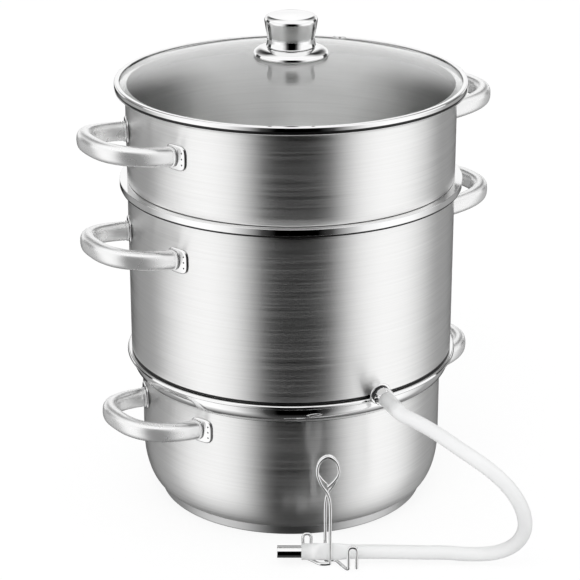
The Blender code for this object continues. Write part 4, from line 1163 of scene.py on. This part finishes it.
# How far the collar swells the tube at distances from its end
COLLAR_STEPS = (
    (0, 0.0003), (0.0004, 0.0005), (0.0018, 0.0005), (0.0021, -0.0003), (0.0028, -0.0003), (0.0031, 0)
)
LOOP_POWER = 2.6
LOOP_STEPS = 1200
LEG_SPREAD = 0.039
HANDLE_TILT = math.radians(6.5)
PAN_TURN = math.radians(5)
PLATE_THICKNESS = 0.0012
PLATE_INWARD = 0.007
PLATE_OUTWARD = 0.0135
PLATE_HALF_HEIGHT = 0.010
PLATE_CORNER_POWER = 3.6
PLATE_SIDES = 64
# How far a plate's edge has drawn in by shares of its thickness
PLATE_DOME = (
    (0, 0.0), (0, 0.35), (0.0003, 0.7), (0.0009, 0.92), (0.0020, 1.0), (0.0050, 1.0), (0.0080, 1.0)
)
WELD_ALONG = 0.0102
WELD_SPREAD = 0.0046
WELD_RADIUS = 0.0007
WELD_FLATNESS = 0.3
BRACKET_FACE = GAP + PLATE_THICKNESS


def square_turn(angle, power):
    """Cosine and sine of a superellipse."""
    across, up = math.cos(angle), math.sin(angle)
    across = math.copysign(abs(across) ** (2 / power), across)
    return across, math.copysign(abs(up) ** (2 / power), up)


def handle_tube(wall, reach, seat):
    """One looped tube, whose ends are cut to the curve of the plates."""
    face = wall + BRACKET_FACE + GAP
    start = math.sqrt(face**2 - LEG_SPREAD**2)
    depth = wall + reach - TUBE_HALF_WIDTH - start
    tilt = math.tan(HANDLE_TILT)
    dense = []
    for step in range(LOOP_STEPS + 1):
        across, out = square_turn(math.pi * step / LOOP_STEPS, LOOP_POWER)
        out = depth * abs(out)
        dense.append(Vector((start + out, -LEG_SPREAD * across, out * tilt)))
    runs = [0.0]
    for a, b in zip(dense, dense[1:]):
        runs.append(runs[-1] + (b - a).length)
    total = runs[-1]
    middle = total - 2 * TUBE_MIDDLE_START
    count = round(middle / TUBE_STEP)
    distances = [distance for distance, swell in COLLAR_STEPS]
    distances += [TUBE_MIDDLE_START + middle * k / count for k in range(count + 1)]
    distances += [total - distance for distance, swell in reversed(COLLAR_STEPS)]
    swells = dict(COLLAR_STEPS)
    rings = []
    for distance in distances:
        i = min(range(len(runs)), key=lambda k: abs(runs[k] - distance))
        place = dense[i]
        along = (dense[min(i + 4, LOOP_STEPS)] - dense[max(i - 4, 0)]).normalized()
        from_end = min(distance, total - distance)
        if from_end < TUBE_END:
            end = math.copysign(1, total / 2 - distance)
            place = Vector((start, -LEG_SPREAD * end, from_end * tilt))
            along = Vector((end, 0, 0))
        side = along.cross(Vector((0, 0, 1)))
        swell = swells.get(round(from_end, 6), 0)
        ring = []
        for angle in turns(TUBE_SIDES):
            across, up = square_turn(angle, TUBE_POWER)
            point = place + side * across * (TUBE_HALF_WIDTH + swell)
            point += Vector((0, 0, up * (TUBE_HALF_HEIGHT + swell)))
            if from_end < TUBE_END:
                point.x = math.sqrt(face**2 - point.y**2) + from_end
            ring.append(point)
        rings.append(ring)
    return moved(skinned(rings), seat)


def wall_place(wall, u, v, lift, end):
    """A place on the wall from its distance past the handle's leg, its height and its lift off it."""
    angle = math.asin(LEG_SPREAD / wall) + u / wall
    reach = wall + GAP + lift
    return Vector((reach * math.cos(angle), end * reach * math.sin(angle), v))


def weld_plate(wall, end, seat):
    """One domed plate with rounded corners; end is 1 or -1 across the handle."""
    half_width = (PLATE_INWARD + PLATE_OUTWARD) / 2
    middle = (PLATE_OUTWARD - PLATE_INWARD) / 2
    levels = [(inset, 0.0) for inset, rise in PLATE_DOME[:1:-1]] + list(PLATE_DOME)
    rings = []
    for inset, rise in levels:
        ring = []
        for angle in turns(PLATE_SIDES):
            across, up = square_turn(angle, PLATE_CORNER_POWER)
            u = middle + across * (half_width - inset)
            v = up * (PLATE_HALF_HEIGHT - inset)
            ring.append(wall_place(wall, u, v, rise * PLATE_THICKNESS, end))
        rings.append(ring)
    return moved(skinned(rings), seat)


weld, start = new_material("weld_spots")
scale = speckle(start, 900.0, 2.0)
end_material(principled(start, scale.mixed(grey(0.03), grey(0.12)), 0.3 + scale * 0.2, {"Metallic": 1.0}))
weld_sizes = {"Spot radius": WELD_RADIUS, "Flatness": WELD_FLATNESS}
weld_tree, given, (spot, flatness) = new_tree("weld_spots", weld_sizes)
ball = given.make("GeometryNodeMeshUVSphere", {"Segments": 12, "Rings": 6, "Radius": spot})
off_wall = given.make("GeometryNodeInputNamedAttribute", {"Name": "outwards"}, {"data_type": "FLOAT_VECTOR"})
facing = given.make("FunctionNodeAlignRotationToVector", {"Vector": off_wall}, {"axis": "Z"})
squash = given.make("ShaderNodeCombineXYZ", {"X": 1.0, "Y": 1.0, "Z": flatness})
spots = {"Points": given, "Instance": ball, "Rotation": facing, "Scale": squash}
end_tree(given.make("GeometryNodeInstanceOnPoints", spots), weld)

for pot, wall, reach, pot_turn in (
    ("pan", PAN_RADIUS, PAN_HANDLE_REACH, PAN_TURN),
    ("kettle", WALL_RADIUS, BODY_HANDLE_REACH, 0),
    ("basket", WALL_RADIUS, BODY_HANDLE_REACH, 0),
):
    plate_low, plate_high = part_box(f"{pot}_bracket_right_front")
    height = (plate_low.z + plate_high.z) / 2
    feet = []
    for side, side_turn in (("right", 0), ("left", math.pi)):
        seat = Matrix.Translation((0, 0, height)) @ Matrix.Rotation(pot_turn + side_turn, 4, "Z")
        tube = handle_tube(wall, reach, seat)
        add_piece(f"{pot}_grip_{side}", tube, buffed, pot, f"{pot}_handle_{side}")
        for end in (1, -1):
            place = "back" if (end > 0) == (side == "right") else "front"
            plate = weld_plate(wall, end, seat)
            node = f"{pot}_bracket_{side}_{place}"
            add_piece(f"{pot}_plate_{side}_{place}", plate, mirror, pot, node)
            for v in (-WELD_SPREAD, 0, WELD_SPREAD):
                feet.append(seat @ wall_place(wall, WELD_ALONG, v, PLATE_THICKNESS, end))
    points = bpy.data.meshes.new("spots")
    points.from_pydata(feet, [], [])
    outwards = points.attributes.new("outwards", "FLOAT_VECTOR", "POINT")
    for i, foot in enumerate(feet):
        outwards.data[i].vector = Vector((foot.x, foot.y, 0)).normalized()
    add_piece(f"{pot}_welds", grown(points, weld_tree, weld_sizes), weld, pot)
